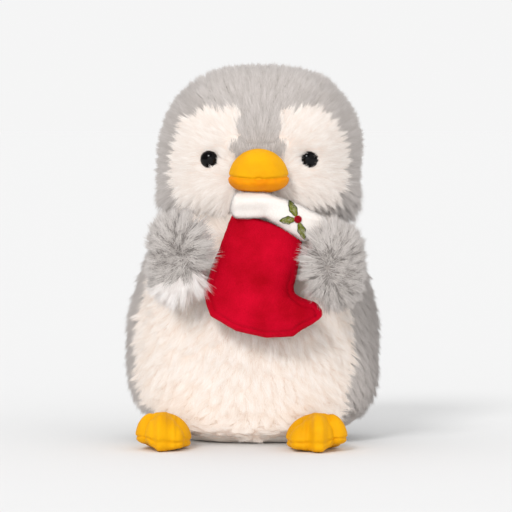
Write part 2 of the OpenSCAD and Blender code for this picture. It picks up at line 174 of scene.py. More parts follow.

# %% [markdown]
# ## Materials
# Short cloths such as velboa, velour and woven backing are one shader with two noises: a wide one
# for the nap that lies in different directions, and a fine one for the grain, which also drives a
# bump. Both read Object coordinates, so the grain stays put when a bag is moved. Fur is coloured
# per strand, the way dyed fibre is, so its shades are plain values on several shaders. Part of
# that colour is painted shade: the deeper strands fill the gaps between tufts, bent strands have
# a darker root, and the head's sides have a darker set than the crown.

# %% Helpers for materials
def linear(red, green, blue):
    """A colour from 0..255 display values, as the linear values that a shader wants."""
    out = []
    for value in (red, green, blue):
        share = value / 255
        out.append(share / 12.92 if share <= 0.04045 else ((share + 0.055) / 1.055) ** 2.4)
    return (*out, 1)


def plain_shader(name, colour, roughness=0.7, **sockets):
    """A material with one Principled shader and plain numbers on its sockets."""
    material = bpy.data.materials.new(name)
    material.use_nodes = True
    shader = material.node_tree.nodes["Principled BSDF"]
    shader.inputs["Base Color"].default_value = colour
    shader.inputs["Roughness"].default_value = roughness
    for socket, value in sockets.items():
        shader.inputs[socket.replace("_", " ")].default_value = value
    return material


GRAIN_SHARE = 0.35
TONE_STOPS = (0.48, 0.86)


def cloth_shader(name, low, high, nap=45, grain=1400, relief=0.25, depth=0.0006,
                 roughness=0.75, **sockets):
    """A short cloth: two tones, in display values, that follow how the nap lies, and a fine
    grain with relief."""
    low, high = linear(*low), linear(*high)
    material = plain_shader(name, high, roughness, **sockets)
    tree = material.node_tree
    shader = tree.nodes["Principled BSDF"]
    place = tree.nodes.new("ShaderNodeTexCoord")
    wide = tree.nodes.new("ShaderNodeTexNoise")
    wide.inputs["Scale"].default_value = nap
    wide.inputs["Detail"].default_value = 3
    fine = tree.nodes.new("ShaderNodeTexNoise")
    fine.inputs["Scale"].default_value = grain
    fine.inputs["Detail"].default_value = 2
    blend = tree.nodes.new("ShaderNodeMath")
    blend.operation = "MULTIPLY_ADD"
    blend.inputs[1].default_value = GRAIN_SHARE
    ramp = tree.nodes.new("ShaderNodeValToRGB")
    for element, position, colour in zip(ramp.color_ramp.elements, TONE_STOPS, (low, high)):
        element.position = position
        element.color = colour
    bump = tree.nodes.new("ShaderNodeBump")
    bump.inputs["Strength"].default_value = relief
    bump.inputs["Distance"].default_value = depth
    link = tree.links.new
    link(place.outputs["Object"], wide.inputs["Vector"])
    link(place.outputs["Object"], fine.inputs["Vector"])
    link(fine.outputs["Fac"], blend.inputs[0])
    link(wide.outputs["Fac"], blend.inputs[2])
    link(blend.outputs["Value"], ramp.inputs["Fac"])
    link(ramp.outputs["Color"], shader.inputs["Base Color"])
    link(fine.outputs["Fac"], bump.inputs["Height"])
    link(bump.outputs["Normal"], shader.inputs["Normal"])
    return material


# %% Cloth and filling materials
VELBOA = dict(nap=70, grain=2600, relief=0.35, depth=0.0004, roughness=0.62, Sheen_Weight=0.08,
              Sheen_Roughness=0.35, Specular_IOR_Level=0.1)

backing_grey = cloth_shader("grey_backing", (150, 143, 138), (182, 175, 170))
backing_cream = cloth_shader("cream_backing", (228, 206, 192), (246, 230, 218))
backing_pale = cloth_shader("pale_backing", (205, 196, 192), (232, 226, 222))
base_cloth = cloth_shader("base_weave", (225, 212, 200), (244, 236, 228), grain=1800)
velboa = cloth_shader("orange_velboa", (220, 153, 1), (232, 168, 3), Sheen_Tint=(1, 0.6, 0.1, 1),
                      **VELBOA)
velboa_deep = cloth_shader("deep_velboa", (226, 134, 0), (236, 150, 1),
                           Sheen_Tint=(1, 0.5, 0.1, 1), **VELBOA)
velour = cloth_shader("red_velour", (162, 0, 20), (198, 4, 38), nap=48, grain=1500, relief=0.8,
                      roughness=0.7, Sheen_Weight=0.1, Sheen_Roughness=0.4,
                      Sheen_Tint=(1, 0.1, 0.2, 1), Specular_IOR_Level=0.04)
cuff_cloth = cloth_shader("cuff_plush", (234, 225, 218), (245, 239, 234), nap=80, grain=1500,
                          relief=0.4, Sheen_Weight=0.3, Sheen_Roughness=0.5)
filling = cloth_shader("polyester_filling", (225, 222, 216), (248, 246, 242), nap=90, grain=700,
                       relief=0.8, depth=0.001)
bag_cloth = cloth_shader("bag_calico", (214, 204, 186), (236, 228, 212), grain=2000)
ribbon = cloth_shader("label_ribbon", (232, 230, 226), (250, 249, 247), grain=2200)
hard_plastic = cloth_shader("moulded_plastic", (30, 30, 30), (44, 44, 44), nap=200, relief=0.1,
                            roughness=0.4)
pellet_plastic = cloth_shader("pellet_plastic", (205, 214, 220), (232, 238, 242), nap=300,
                              relief=0.1, roughness=0.35)
print("materials:", len(bpy.data.materials))

# %% [markdown]
# ## A bag's skin
# A skin could be the panels themselves, joined and remeshed, but that keeps their inner walls.
# A round bag is simpler the other way: a ball with even faces is shrunk on to the panels, each
# point falling straight towards the middle until it lands. The ball comes from a subdivided
# cube, because its squares have no poles, and poles pinch when a cloth is inflated.

# %% A ball of even squares, and the panels as one target
def ball(cuts):
    """A round closed mesh of squares, from a cube."""
    build = bmesh.new()
    bmesh.ops.create_cube(build, size=2)
    bmesh.ops.subdivide_edges(build, edges=build.edges, cuts=cuts, use_grid_fill=True)
    for vert in build.verts:
        squared = [math.tan(v * math.pi / 4) for v in vert.co]
        vert.co = Vector(squared).normalized()
    return build


# The least distances of a skin and of a short-pile cover from the filling.
CORE_GAP = 0.0007
COVER_GAP = 0.0006


class Panels:
    """Some CAD nodes as one target: what a ray meets, and which node it was."""

    def __init__(self, *names):
        self.names, self.owner = names, []
        points, faces = [], []
        for name in names:
            mesh = cad_nodes[name].data
            first = len(points)
            points += [v.co.copy() for v in mesh.vertices]
            for polygon in mesh.polygons:
                faces.append([first + v for v in polygon.vertices])
                self.owner.append(name)
        self.tree = BVHTree.FromPolygons(points, faces)

    def land(self, middle, direction, reach=0.4):
        """Where a point falling towards middle from outside lands, and on which node."""
        direction = direction.normalized()
        place, _, face, _ = self.tree.ray_cast(middle + direction * reach, -direction, reach)
        return (None, None) if place is None else (place, self.owner[face])


def drop_on(build, panels, core, middle, inset, slack):
    """Moves each point of a ball to just under the panels, and never into the core."""
    for vert in build.verts:
        direction = vert.co.normalized()
        place, owner = panels.land(middle, direction)
        depth = CORE_GAP if owner in core.names else inset + slack
        vert.co = middle + direction * ((place - middle).length - depth)
    clear_core(build, core, middle, slack)
    return build


def clear_core(build, core, middle, slack=0.0):
    """Lifts any point that lies in the core, or on it, to just above it."""
    for vert in build.verts:
        direction = (vert.co - middle).normalized()
        place, _ = core.land(middle, direction)
        if place is not None:
            least = (place - middle).length + CORE_GAP - slack
            if (vert.co - middle).length < least:
                vert.co = middle + direction * least


# %% [markdown]
# ## Filling a bag
# A stuffed bag swells until its cloth is tight. The Cloth modifier with air pressure and no
# gravity does that in a few frames. The bag starts a little smaller, each point may move only
# a few millimetres so that the size stays true, and the result is written into the mesh.

# %% Points, normals and covers
def keep_over(piece, *names):
    """Lifts the points of a cover that have sunk into the filling to just above it."""
    filling_tree = Panels(*names).tree
    for vert in piece.data.vertices:
        place, normal, _, _ = filling_tree.find_nearest(vert.co)
        if (vert.co - place).dot(normal) < COVER_GAP:
            vert.co = place + normal * COVER_GAP
    piece.data.update()


def coordinates(mesh):
    """The places of a mesh's points, one row each."""
    flat = np.empty(len(mesh.vertices) * 3, np.float32)
    mesh.vertices.foreach_get("co", flat)
    return flat.reshape(-1, 3).astype(float)


def set_coordinates(mesh, points):
    """Moves a mesh's points to those places."""
    mesh.vertices.foreach_set("co", points.astype(np.float32).ravel())
    mesh.update()


def normals(mesh):
    """The directions that a mesh's points face, one row each."""
    flat = np.empty(len(mesh.vertices) * 3, np.float32)
    mesh.vertex_normals.foreach_get("vector", flat)
    return flat.reshape(-1, 3).astype(float)


# %% Slopes and smoothing
def unit(vectors):
    """Each row scaled to a length of one."""
    return vectors / np.maximum(np.linalg.norm(vectors, axis=1), 1e-6)[:, None]


def ease(values, low, high):
    """0 below low, 1 above high, smooth in between."""
    share = np.clip((values - low) / (high - low), 0, 1)
    return share * share * (3 - 2 * share)


def band(values, rise, fall):
    """1 between two slopes, each given as its low and high end, and 0 outside them."""
    return ease(values, *rise) * (1 - ease(values, *fall))


def smooth(build, rounds):
    """Moves every point halfway to the middle of its neighbours, several times."""
    for _ in range(rounds):
        bmesh.ops.smooth_vert(build, verts=build.verts, factor=0.5, use_axis_x=True,
                              use_axis_y=True, use_axis_z=True)


def smooth_piece(piece, rounds):
    """The same on a piece's mesh."""
    build = bmesh.new()
    build.from_mesh(piece.data)
    smooth(build, rounds)
    build.to_mesh(piece.data)
    build.free()


# %% Writing modifiers into a mesh
def make_final(piece):
    """Writes a piece's modifiers into its mesh."""
    bpy.context.view_layer.update()
    shaped = piece.evaluated_get(bpy.context.evaluated_depsgraph_get())
    mesh = bpy.data.meshes.new_from_object(shaped)
    old = piece.data
    piece.modifiers.clear()
    piece.data = mesh
    bpy.data.meshes.remove(old)
    mesh.name = piece.name
    return mesh


def smooth_shading(mesh):
    """Shades a mesh as one curved surface."""
    mesh.polygons.foreach_set("use_smooth", [True] * len(mesh.polygons))


# %% Air
PRESSURE = 4.0
STIFFNESS = 12
FRAMES = 16


def fill_with_air(piece, most):
    """Swells a closed bag by cloth simulation. No point moves by more than most."""
    scene = bpy.context.scene
    before = coordinates(piece.data)
    cloth = piece.modifiers.new("air", "CLOTH")
    cloth.settings.quality = 4
    cloth.settings.mass = 0.25
    cloth.settings.tension_stiffness = STIFFNESS
    cloth.settings.compression_stiffness = STIFFNESS
    cloth.settings.bending_stiffness = 0.4
    cloth.settings.use_pressure = True
    cloth.settings.uniform_pressure_force = PRESSURE
    cloth.settings.effector_weights.gravity = 0
    cloth.collision_settings.use_collision = False
    cloth.point_cache.frame_end = FRAMES
    for step in range(1, FRAMES + 1):
        scene.frame_set(step)
    shaped = piece.evaluated_get(bpy.context.evaluated_depsgraph_get())
    after = coordinates(shaped.data)
    piece.modifiers.clear()
    scene.frame_set(1)
    move = after - before
    size = np.linalg.norm(move, axis=1)
    move *= np.minimum(1, most / np.maximum(size, 1e-9))[:, None]
    set_coordinates(piece.data, before + move)
    print(f"{piece.name}: swelled by {1000 * size.mean():.1f} mm, capped at {1000 * most:.0f}")


# %% A whole bag
def subdivide(piece, levels=1):
    """One or more rounds of subdivision, written into the mesh."""
    finer = piece.modifiers.new("finer", "SUBSURF")
    finer.levels = finer.render_levels = levels
    return make_final(piece)


def lighten(piece):
    """Merges the squares that subdivision made, on a skin that its pile hides."""
    fewer = piece.modifiers.new("fewer", "DECIMATE")
    fewer.decimate_type = "UNSUBDIV"
    fewer.iterations = 2
    make_final(piece)
    smooth_shading(piece.data)
    print(f"{piece.name}: {len(piece.data.polygons)} faces")


def bag(name, middle, panels, core, cuts, inset, slack, most, rounds=3, levels=1):
    """A stuffed bag inside some panels: dropped on, smoothed, filled and subdivided."""
    slack = slack
    build = drop_on(ball(cuts), panels, core, middle, inset, slack)
    smooth(build, rounds)
    clear_core(build, core, middle, slack)
    piece = new_object(name, mesh_of(build, name))
    fill_with_air(piece, most)
    subdivide(piece, levels)
    smooth_shading(piece.data)
    return piece


# %% [markdown]
# ## Where each panel's fur grows
# Every panel has fur of its own colour and length, so each point of a skin is given a share of
# each panel: 1 well inside it, 0 outside, and in between at its edge. Fur grows where its panel
# has the largest share. Each point also gets the direction in which the pile was brushed.

# %% Shares of panels
def panel_shares(piece, panels, middle, softening=2):
    """A dictionary: node name -> its share at each point of the skin, from 0 to 1."""
    mesh = piece.data
    points = coordinates(mesh)
    found = []
    for point in points:
        _, name = panels.land(middle, Vector(point) - middle)
        found.append(name)
    edges = np.empty(len(mesh.edges) * 2, np.int32)
    mesh.edges.foreach_get("vertices", edges)
    edges = edges.reshape(-1, 2)
    shares = {}
    for name in sorted({n for n in found if n}):
        share = np.array([1.0 if n == name else 0.0 for n in found])
        for _ in range(softening):
            total, count = share.copy(), np.ones(len(share))
            np.add.at(total, edges[:, 0], share[edges[:, 1]])
            np.add.at(total, edges[:, 1], share[edges[:, 0]])
            np.add.at(count, edges[:, 0], 1)
            np.add.at(count, edges[:, 1], 1)
            share = total / count
        shares[name] = share
    return shares


# %% Brushing and lengths as attributes
def keep_vector(mesh, name, values):
    """Stores a direction at each point."""
    mesh.attributes.new(name, "FLOAT_VECTOR", "POINT").data.foreach_set(
        "vector", values.astype(np.float32).ravel())


def keep_number(mesh, name, values):
    """Stores a number at each point."""
    mesh.attributes.new(name, "FLOAT", "POINT").data.foreach_set(
        "value", np.asarray(values, np.float32))


def lay_flat(flow, normal):
    """A brushing direction without its part along the normal, one long."""
    return unit(flow - normal * np.sum(flow * normal, axis=1)[:, None])


def brush(piece, shares, flow, lengths, lean=1.0):
    """Stores the brushing, the pile's length and, for each panel, where it has the most.
    Where lean is below 1 the pile stands up more."""
    mesh = piece.data
    keep_vector(mesh, "brushed", lay_flat(flow, normals(mesh)) * np.reshape(lean, (-1, 1)))
    keep_number(mesh, "pile", lengths)
    for name, share in shares.items():
        others = [s for n, s in shares.items() if n != name]
        rival = np.max(others, axis=0) if others else np.zeros(len(share))
        keep_number(mesh, "has_" + name, share - rival)


def paint_by_panel(piece, shares, finishes):
    """Gives each face the backing of the panel that it lies in."""
    mesh = piece.data
    names = list(finishes)
    for name in names:
        mesh.materials.append(finishes[name])
    table = np.array([shares.get(n, np.zeros(len(mesh.vertices))) for n in names])
    best = np.argmax(table, axis=0)
    for polygon in mesh.polygons:
        polygon.material_index = int(best[polygon.vertices[0]])


# %% [markdown]
# ## One strand of fur
# Real pile has thousands of fibres to the square centimetre, and they cling together in wisps.
# A wisp is what the eye sees, so one wisp is one strand here: a three-sided spike, bent towards
# its tip, with a root half and a tip half in their own shades. The root's darker colour is painted
# shade, for the shade deep in the pile. It is one unit tall, so that scattering it with a length
# in metres gives it that length.

# %% Strand shapes
FLATNESS = 0.6
KNEE = 0.5
KNEE_WIDTH = 1.7
DROOP = 0.35
# The share of a bent strand's height, from its root, that takes the painted root shade.
PAINTED_ROOT_SHARE = 0.45
strand_sets = []


def strand(name, root_painted_shade, tip_finish, width, bend):
    """A closed, tapering spike, one unit tall, flat enough to lie well. A bent one has a
    middle ring, its upper half has the tip's finish, and its lower half the painted root shade."""
    build = bmesh.new()
    bmesh.ops.create_cone(build, cap_ends=True, segments=3, radius1=width, radius2=0, depth=1)
    bmesh.ops.remove_doubles(build, verts=build.verts, dist=1e-4)
    bmesh.ops.translate(build, verts=build.verts, vec=(0, 0, 0.5))
    bmesh.ops.rotate(build, verts=build.verts, matrix=Matrix.Rotation(math.pi / 2, 3, "Z"))
    bmesh.ops.scale(build, verts=build.verts, vec=(-FLATNESS, 1, 1))
    if bend:
        bmesh.ops.bisect_plane(build, geom=build.verts[:] + build.edges[:] + build.faces[:],
                               plane_co=(0, 0, KNEE), plane_no=(0, 0, 1))
        for vert in build.verts:
            if abs(vert.co.z - KNEE) < 0.1:
                vert.co.x *= KNEE_WIDTH
                vert.co.y *= KNEE_WIDTH
            vert.co.x += bend * vert.co.z ** 2
            vert.co.z -= DROOP * bend * vert.co.z ** 2
    bmesh.ops.recalc_face_normals(build, faces=build.faces)
    mesh = mesh_of(build, name)
    mesh.materials.append(tip_finish)
    if bend:
        mesh.materials.append(root_painted_shade)
        for polygon in mesh.polygons:
            polygon.material_index = int(polygon.center.z < PAINTED_ROOT_SHARE)
    smooth_shading(mesh)
    return bpy.data.objects.new(name, mesh)


# %% A fabric's set of strands
def strand_set(name, root, shades, width=0.03, bends=(0,), **sockets):
    """A collection of strands of one fabric: each shade with its own bend. The root colour is
    painted shade for the lower half of the bent strands.
    """
    fibre = dict(Specular_IOR_Level=0.2, Sheen_Weight=0.2, Sheen_Roughness=0.5)
    fibre.update(sockets)
    # Painted shade: the root is a darker colour for the lower half of bent strands, where the pile would
    # shade itself.
    root_painted_shade = plain_shader(name + "_root", linear(*root), 0.8, **fibre)
    collection = bpy.data.collections.new(name)
    for number, shade in enumerate(shades):
        tip = plain_shader(f"{name}_tip_{number}", linear(*shade), 0.65, **fibre)
        bend = bends[number % len(bends)]
        collection.objects.link(strand(f"{name}_{number}", root_painted_shade, tip, width, bend))
    strand_sets.append(collection)
    return collection


# %% The fabrics of this toy, each with its palest strand first
# Each fabric: its root colour, a darker painted shade that only bent strands show, then its tones from the
# palest to the deepest. They differ partly at random, as dyed fibre does, and partly as painted shade,
# because the deeper ones are picked for the gaps between tufts.
grey_strands = strand_set("grey_fur", (170, 164, 159),
                          [(205, 198, 194), (199, 192, 188), (194, 187, 183), (188, 181, 176)],
                          width=0.026)
# Painted shade: the head's sides are the same grey cloth as the crown, in this darker set, because less
# light falls on them.
side_painted_shade_strands = strand_set("side_fur", (162, 156, 151),
                          [(195, 188, 184), (189, 182, 178), (184, 177, 173), (178, 171, 166)],
                          width=0.026)
wing_strands = strand_set("wing_fur", (140, 134, 130),
                          [(207, 201, 197), (198, 192, 187), (190, 183, 179), (180, 173, 168)],
                          width=0.022, bends=(0, 0.3))
cream_strands = strand_set("cream_fur", (246, 230, 220),
                           [(251, 244, 238), (249, 240, 232), (246, 235, 226), (241, 228, 217)],
                           width=0.025)
face_strands = strand_set("face_fur", (240, 226, 218),
                          [(245, 238, 232), (243, 234, 227), (239, 230, 222), (235, 223, 214)],
                          width=0.026)
pale_strands = strand_set("pale_fur", (236, 228, 224),
                          [(252, 248, 246), (249, 244, 241), (245, 239, 235), (240, 232, 228)],
                          width=0.022, bends=(0, 0.3))
cuff_strands = strand_set("cuff_fur", (246, 238, 232),
                          [(247, 242, 238), (243, 236, 231), (237, 229, 223)], width=0.09)
print("strand sets:", len(strand_sets))

# %% [markdown]
# ## Growing the pile
# Geometry Nodes scatters the strands: it picks random points on the skin, turns a strand at each
# one and scales it. A strand leans the way the pile was brushed. Wide noise adds swirls to the
# brushing, and a Voronoi pattern pulls the tips of neighbours together into tufts, which is what
# makes plush look like plush. The result is realised, so it is an ordinary mesh of its own.

# %% A node tree for one patch of pile
# A strand's length is its patch's, times a chance factor and a fall from a tuft's middle to its
# rim. Its shade is counted from the palest, by the same distance and a stray amount, so it is
# painted shade that deepens towards the gaps between tufts, over a random tone.
LENGTH_CHANCE = (0.72, 1.08)
TUFT_TOP, TUFT_FALL = 1.15, -0.6
SHADE_STRAY = (-1.6, 2.2)
GAP_SHADE_SPREAD = 1.1
TUFT_WARP = 0.004


def pile_tree(region, strands, density, seed, stand, swirl, swirl_size, tuft, tuft_size, fuzz):
    """The node tree that grows one panel's pile."""
    tree = bpy.data.node_groups.new("pile_" + region, "GeometryNodeTree")
    tree.interface.new_socket("Skin", in_out="INPUT", socket_type="NodeSocketGeometry")
    tree.interface.new_socket("Pile", in_out="OUTPUT", socket_type="NodeSocketGeometry")
    link = tree.links.new

    def node(kind, **settings):
        """A node with those settings."""
        made = tree.nodes.new(kind)
        for key, value in settings.items():
            setattr(made, key, value)
        return made

    def attribute(name, kind):
        """What the skin stores under that name."""
        made = node("GeometryNodeInputNamedAttribute", data_type=kind)
        made.inputs["Name"].default_value = name
        return made.outputs["Attribute"]

    def vector(operation, *feeds):
        """Vector maths on sockets or plain vectors."""
        made = node("ShaderNodeVectorMath", operation=operation)
        for socket, feed in zip(made.inputs, feeds):
            if isinstance(feed, tuple):
                socket.default_value = feed
            else:
                link(feed, socket)
        return made.outputs["Vector"]

    def scaled(feed, factor):
        """A vector times a plain number."""
        made = node("ShaderNodeVectorMath", operation="SCALE")
        link(feed, made.inputs[0])
        made.inputs["Scale"].default_value = factor
        return made.outputs["Vector"]

    def number(operation, first, second):
        """Maths on sockets or plain numbers."""
        made = node("ShaderNodeMath", operation=operation)
        for socket, feed in zip(made.inputs, (first, second)):
            if isinstance(feed, float):
                socket.default_value = feed
            else:
                link(feed, socket)
        return made.outputs["Value"]

    def chance(kind, first, limits, turn):
        """A random value between limits. first is the number of the socket of its least."""
        made = node("FunctionNodeRandomValue", data_type=kind)
        for socket, limit in zip(made.inputs[first:first + 2], limits):
            socket.default_value = limit
        made.inputs["Seed"].default_value = seed + turn
        return made.outputs[first // 2]

    skin = node("NodeGroupInput")
    scatter = node("GeometryNodeDistributePointsOnFaces", distribute_method="RANDOM")
    scatter.inputs["Density"].default_value = density
    scatter.inputs["Seed"].default_value = seed
    link(skin.outputs["Skin"], scatter.inputs["Mesh"])

    outside = number("LESS_THAN", attribute("has_" + region, "FLOAT"), 0.0)
    weed = node("GeometryNodeDeleteGeometry", domain="POINT")
    link(scatter.outputs["Points"], weed.inputs["Geometry"])
    link(outside, weed.inputs["Selection"])

    place = node("GeometryNodeInputPosition").outputs["Position"]
    brushed = attribute("brushed", "FLOAT_VECTOR")
    up = attribute("outward", "FLOAT_VECTOR")

    swirls = node("ShaderNodeTexNoise")
    swirls.inputs["Scale"].default_value = 1 / swirl_size
    swirls.inputs["Detail"].default_value = 1
    link(place, swirls.inputs["Vector"])
    wander = scaled(vector("SUBTRACT", swirls.outputs["Color"], (0.5, 0.5, 0.5)), swirl)

    tufts = node("ShaderNodeTexVoronoi")
    tufts.inputs["Scale"].default_value = 1 / tuft_size
    link(vector("ADD", place, scaled(wander, TUFT_WARP)), tufts.inputs["Vector"])
    gather = scaled(vector("SUBTRACT", tufts.outputs["Position"], place), tuft / tuft_size)

    loose = chance("FLOAT_VECTOR", 0, ((-fuzz, -fuzz, -fuzz), (fuzz, fuzz, fuzz)), 1)

    lean = vector("ADD", brushed, vector("ADD", wander, gather))
    heading = vector("ADD", vector("ADD", scaled(up, stand), lean), loose)

    aim = node("FunctionNodeAlignRotationToVector", axis="Z")
    link(heading, aim.inputs["Vector"])
    roll = node("FunctionNodeAlignRotationToVector", axis="X", pivot_axis="Z")
    link(aim.outputs["Rotation"], roll.inputs["Rotation"])
    link(lean, roll.inputs["Vector"])

    by_tuft = number("ADD", number("MULTIPLY", tufts.outputs["Distance"], TUFT_FALL), TUFT_TOP)
    size = number("MULTIPLY", number("MULTIPLY", attribute("pile", "FLOAT"),
                                     chance("FLOAT", 2, LENGTH_CHANCE, 2)),
                  by_tuft)

    # Painted shade: a tuft is pale in its middle and deeper in the gaps round it.
    shade = number("ADD", number("MULTIPLY", tufts.outputs["Distance"],
                                 GAP_SHADE_SPREAD * len(strands.objects)),
                   chance("FLOAT", 2, SHADE_STRAY, 3))
    pick = number("MINIMUM", number("MAXIMUM", number("FLOOR", shade, 0.0), 0.0),
                  float(len(strands.objects) - 1))
    shapes = node("GeometryNodeCollectionInfo")
    shapes.inputs["Collection"].default_value = strands
    shapes.inputs["Separate Children"].default_value = True

    plant = node("GeometryNodeInstanceOnPoints")
    plant.inputs["Pick Instance"].default_value = True
    link(weed.outputs["Geometry"], plant.inputs["Points"])
    link(shapes.outputs["Instances"], plant.inputs["Instance"])
    link(pick, plant.inputs["Instance Index"])
    link(roll.outputs["Rotation"], plant.inputs["Rotation"])
    link(size, plant.inputs["Scale"])
    real = node("GeometryNodeRealizeInstances")
    link(plant.outputs["Instances"], real.inputs["Geometry"])
    result = node("NodeGroupOutput")
    link(real.outputs["Geometry"], result.inputs["Pile"])
    return tree


# %% Growing one panel's pile
SEED_STEP = 17
FLOOR_GAP = 0.0004
grown = 0


def grow(name, skin, region, strands, density, stand=0.8, swirl=0.9, swirl_size=0.018, tuft=0.5,
         tuft_size=0.0045, fuzz=0.15, softness=0.7):
    """A piece of pile on one panel's part of a skin. density is in strands per square cm, and
    softness is how far a strand is shaded like the skin under it, as translucent fibre is."""
    global grown
    grown += 1
    piece = new_object(name, skin.data.copy())
    for direction in ("outward", "facing"):
        if direction not in piece.data.attributes:
            keep_vector(piece.data, direction, normals(piece.data))
    grower = piece.modifiers.new("grower", "NODES")
    grower.node_group = pile_tree(region, strands, density * 1e4, SEED_STEP * grown, stand,
                                  swirl, swirl_size, tuft, tuft_size, fuzz)
    mesh = make_final(piece)
    facing = np.empty(len(mesh.vertices) * 3, np.float32)
    mesh.attributes["facing"].data.foreach_get("vector", facing)
    soft = unit(softness * facing.reshape(-1, 3) + (1 - softness) * normals(mesh))
    guides = [a.name for a in mesh.attributes
              if a.name in ("outward", "facing", "brushed", "pile") or a.name.startswith("has_")]
    for guide in guides:
        mesh.attributes.remove(mesh.attributes[guide])
    mesh.normals_split_custom_set_from_vertices(soft.tolist())
    points = coordinates(mesh)
    points[:, 2] = np.maximum(points[:, 2], FLOOR_GAP)
    set_coordinates(mesh, points)
    piece.visible_shadow = False
    mesh.calc_loop_triangles()
    print(f"{name}: {len(mesh.loop_triangles)} triangles")
    return piece


# %% [markdown]
# ## The torso
# The belly is one wide cream panel, the back two grey ones, and the bottom a plain woven disc.
# The belly's pile is brushed down and a little away from the middle. Light reaches the low fur
# through the pile, so there its shading is turned a little up, and at the sides to the front.

# %% Torso skin
SIDES = {"left": 1, "right": -1}
TORSO_MIDDLE = Vector((0, 0.012, 0.070))
torso_core = Panels("body_stuffing", "base_panel")
torso_panels = Panels("belly_panel", "back_panel_left", "back_panel_right", "base_panel",
                      "body_stuffing")
torso = bag("torso_skin", TORSO_MIDDLE, torso_panels, torso_core, cuts=24, inset=0.0036,
            slack=0.0012, most=0.003, levels=2)
torso_shares = panel_shares(torso, torso_panels, TORSO_MIDDLE)

# %% Torso reshaping, in metres, and its shading
WAIST = ((0.018, 0.045), (0.075, 0.105))
WAIST_LEFT, WAIST_RIGHT = 0.0018, 0.0034
NAPE_LIFT = 0.005
# The seam between belly and left back: how far out it runs, at each height.
SEAM_HEIGHTS = (0.02, 0.037, 0.057, 0.076, 0.1)
SEAM_OUT = (0.056, 0.058, 0.063, 0.062, 0.058)
SEAM_PUSH = 1.2

torso_points = coordinates(torso.data)
x, y, z = torso_points.T
waist = band(z, *WAIST)
torso_points[:, 0] += waist * (WAIST_LEFT * ease(x, 0.03, 0.06)
                               - WAIST_RIGHT * ease(-x, 0.03, 0.06))
torso_points[:, 2] += NAPE_LIFT * ease(z, 0.122, 0.146) * ease(y, -0.012, 0.03)
torso_points[:, 2] = np.maximum(z, FLOOR_GAP)
set_coordinates(torso.data, torso_points)
past_seam = ease(x - np.interp(z, SEAM_HEIGHTS, SEAM_OUT), -0.002, 0.002)
torso_shares["back_panel_left"] += SEAM_PUSH * past_seam


def turned_up(directions, share, least):
    """Directions with their upward part raised by share: least, and more where they look down."""
    raised = directions.copy()
    raised[:, 2] += share * (least + np.maximum(-directions[:, 2], 0))
    return unit(raised)


def turned_front(directions, y, amount, sides):
    """Directions at the sides of a piece turned to the front, except at its back."""
    turned = directions.copy()
    turned[:, 1] -= amount * ease(np.abs(directions[:, 0]), *sides) * (1 - ease(y, 0.02, 0.05))
    return unit(turned)


low_down = 1 - ease(z, 0.02, 0.06)
outward = normals(torso.data)
keep_vector(torso.data, "outward", turned_up(outward, low_down, 0.25))
keep_vector(torso.data, "facing", turned_up(turned_front(outward, y, 0.7, (0.6, 0.95)),
                                            low_down, 0.25))

# %% Torso brushing and pile length
# The pile's length in metres, and how much shorter it is at the floor and longer at the collar.
PILE = 0.0095
FLOOR_TRIM, COLLAR_GROWTH, COLLAR_LIFT = 0.3, 0.5, 1.6
PARTING_WIDTH, SIDEWAYS, BACKWARDS, SPLAY = 0.03, 0.45, 0.2, 8
PARTING_SHARPNESS = 200

near_floor = 1 - ease(z, 0.006, 0.035)
collar = ease(z, 0.128, 0.145)
torso_flow = np.column_stack((SIDEWAYS * np.tanh(x / PARTING_WIDTH),
                              BACKWARDS * np.sign(y - 0.02), -1 + 0.3 * near_floor))
torso_flow += SPLAY * near_floor[:, None] * (torso_points - (0, 0.012, 0)) * (1, 1, 0)
torso_flow[:, 2] *= 1 - COLLAR_LIFT * collar
torso_pile = PILE * (1 - FLOOR_TRIM * near_floor) * (1 + COLLAR_GROWTH * collar)
brush(torso, torso_shares, torso_flow, torso_pile)
belly = np.empty(len(torso_points), np.float32)
torso.data.attributes["has_belly_panel"].data.foreach_get("value", belly)
for side, sign in SIDES.items():
    keep_number(torso.data, "has_belly_" + side, np.minimum(belly, PARTING_SHARPNESS * sign * x))
paint_by_panel(torso, torso_shares, {
    "belly_panel": backing_cream, "back_panel_left": backing_grey,
    "back_panel_right": backing_grey, "base_panel": base_cloth})
print("torso skin faces:", len(torso.data.polygons))

# %% Torso pile
belly_piles = {side: grow("belly_pile_" + side, torso, "belly_" + side, cream_strands, 365,
                          stand=1.1, swirl=1.5, swirl_size=0.009, tuft=0.7, tuft_size=0.0055,
                          fuzz=0.22)
               for side in SIDES}
back_piles = {side: grow("back_pile_" + side, torso, "back_panel_" + side, grey_strands, 195,
                         stand=0.55, swirl=0.5, tuft=0.4)
              for side in SIDES}

# %% Torso pieces join the frame
def settle(piece, body, slot, *nodes):
    """A finished piece rides on its body and stands for its CAD nodes, which are hidden."""
    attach(piece, body)
    hang(piece, slot, *nodes)


def hang(piece, slot, *nodes):
    """A finished piece stands for its CAD nodes, which are hidden. Its slot is not used."""
    if nodes:
        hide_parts(*nodes)


def filling_of(cover, node_name, gap=0.0012):
    """The filling of a cover that was reshaped: the cover's own shape, a little smaller."""
    piece = new_object(node_name.replace("stuffing", "filling"), cover.data.copy())
    set_coordinates(piece.data, coordinates(cover.data) - gap * normals(cover.data))
    piece.data.materials.clear()
    piece.data.materials.append(filling)
    hang(piece, "filling", node_name)
    return piece


lighten(torso)
settle(torso, "torso", "base_cloth", "base_panel")
for piece in belly_piles.values():
    settle(piece, "torso", "cream_fur", "belly_panel")
for side, piece in back_piles.items():
    settle(piece, "torso", "grey_fur", "back_panel_" + side)

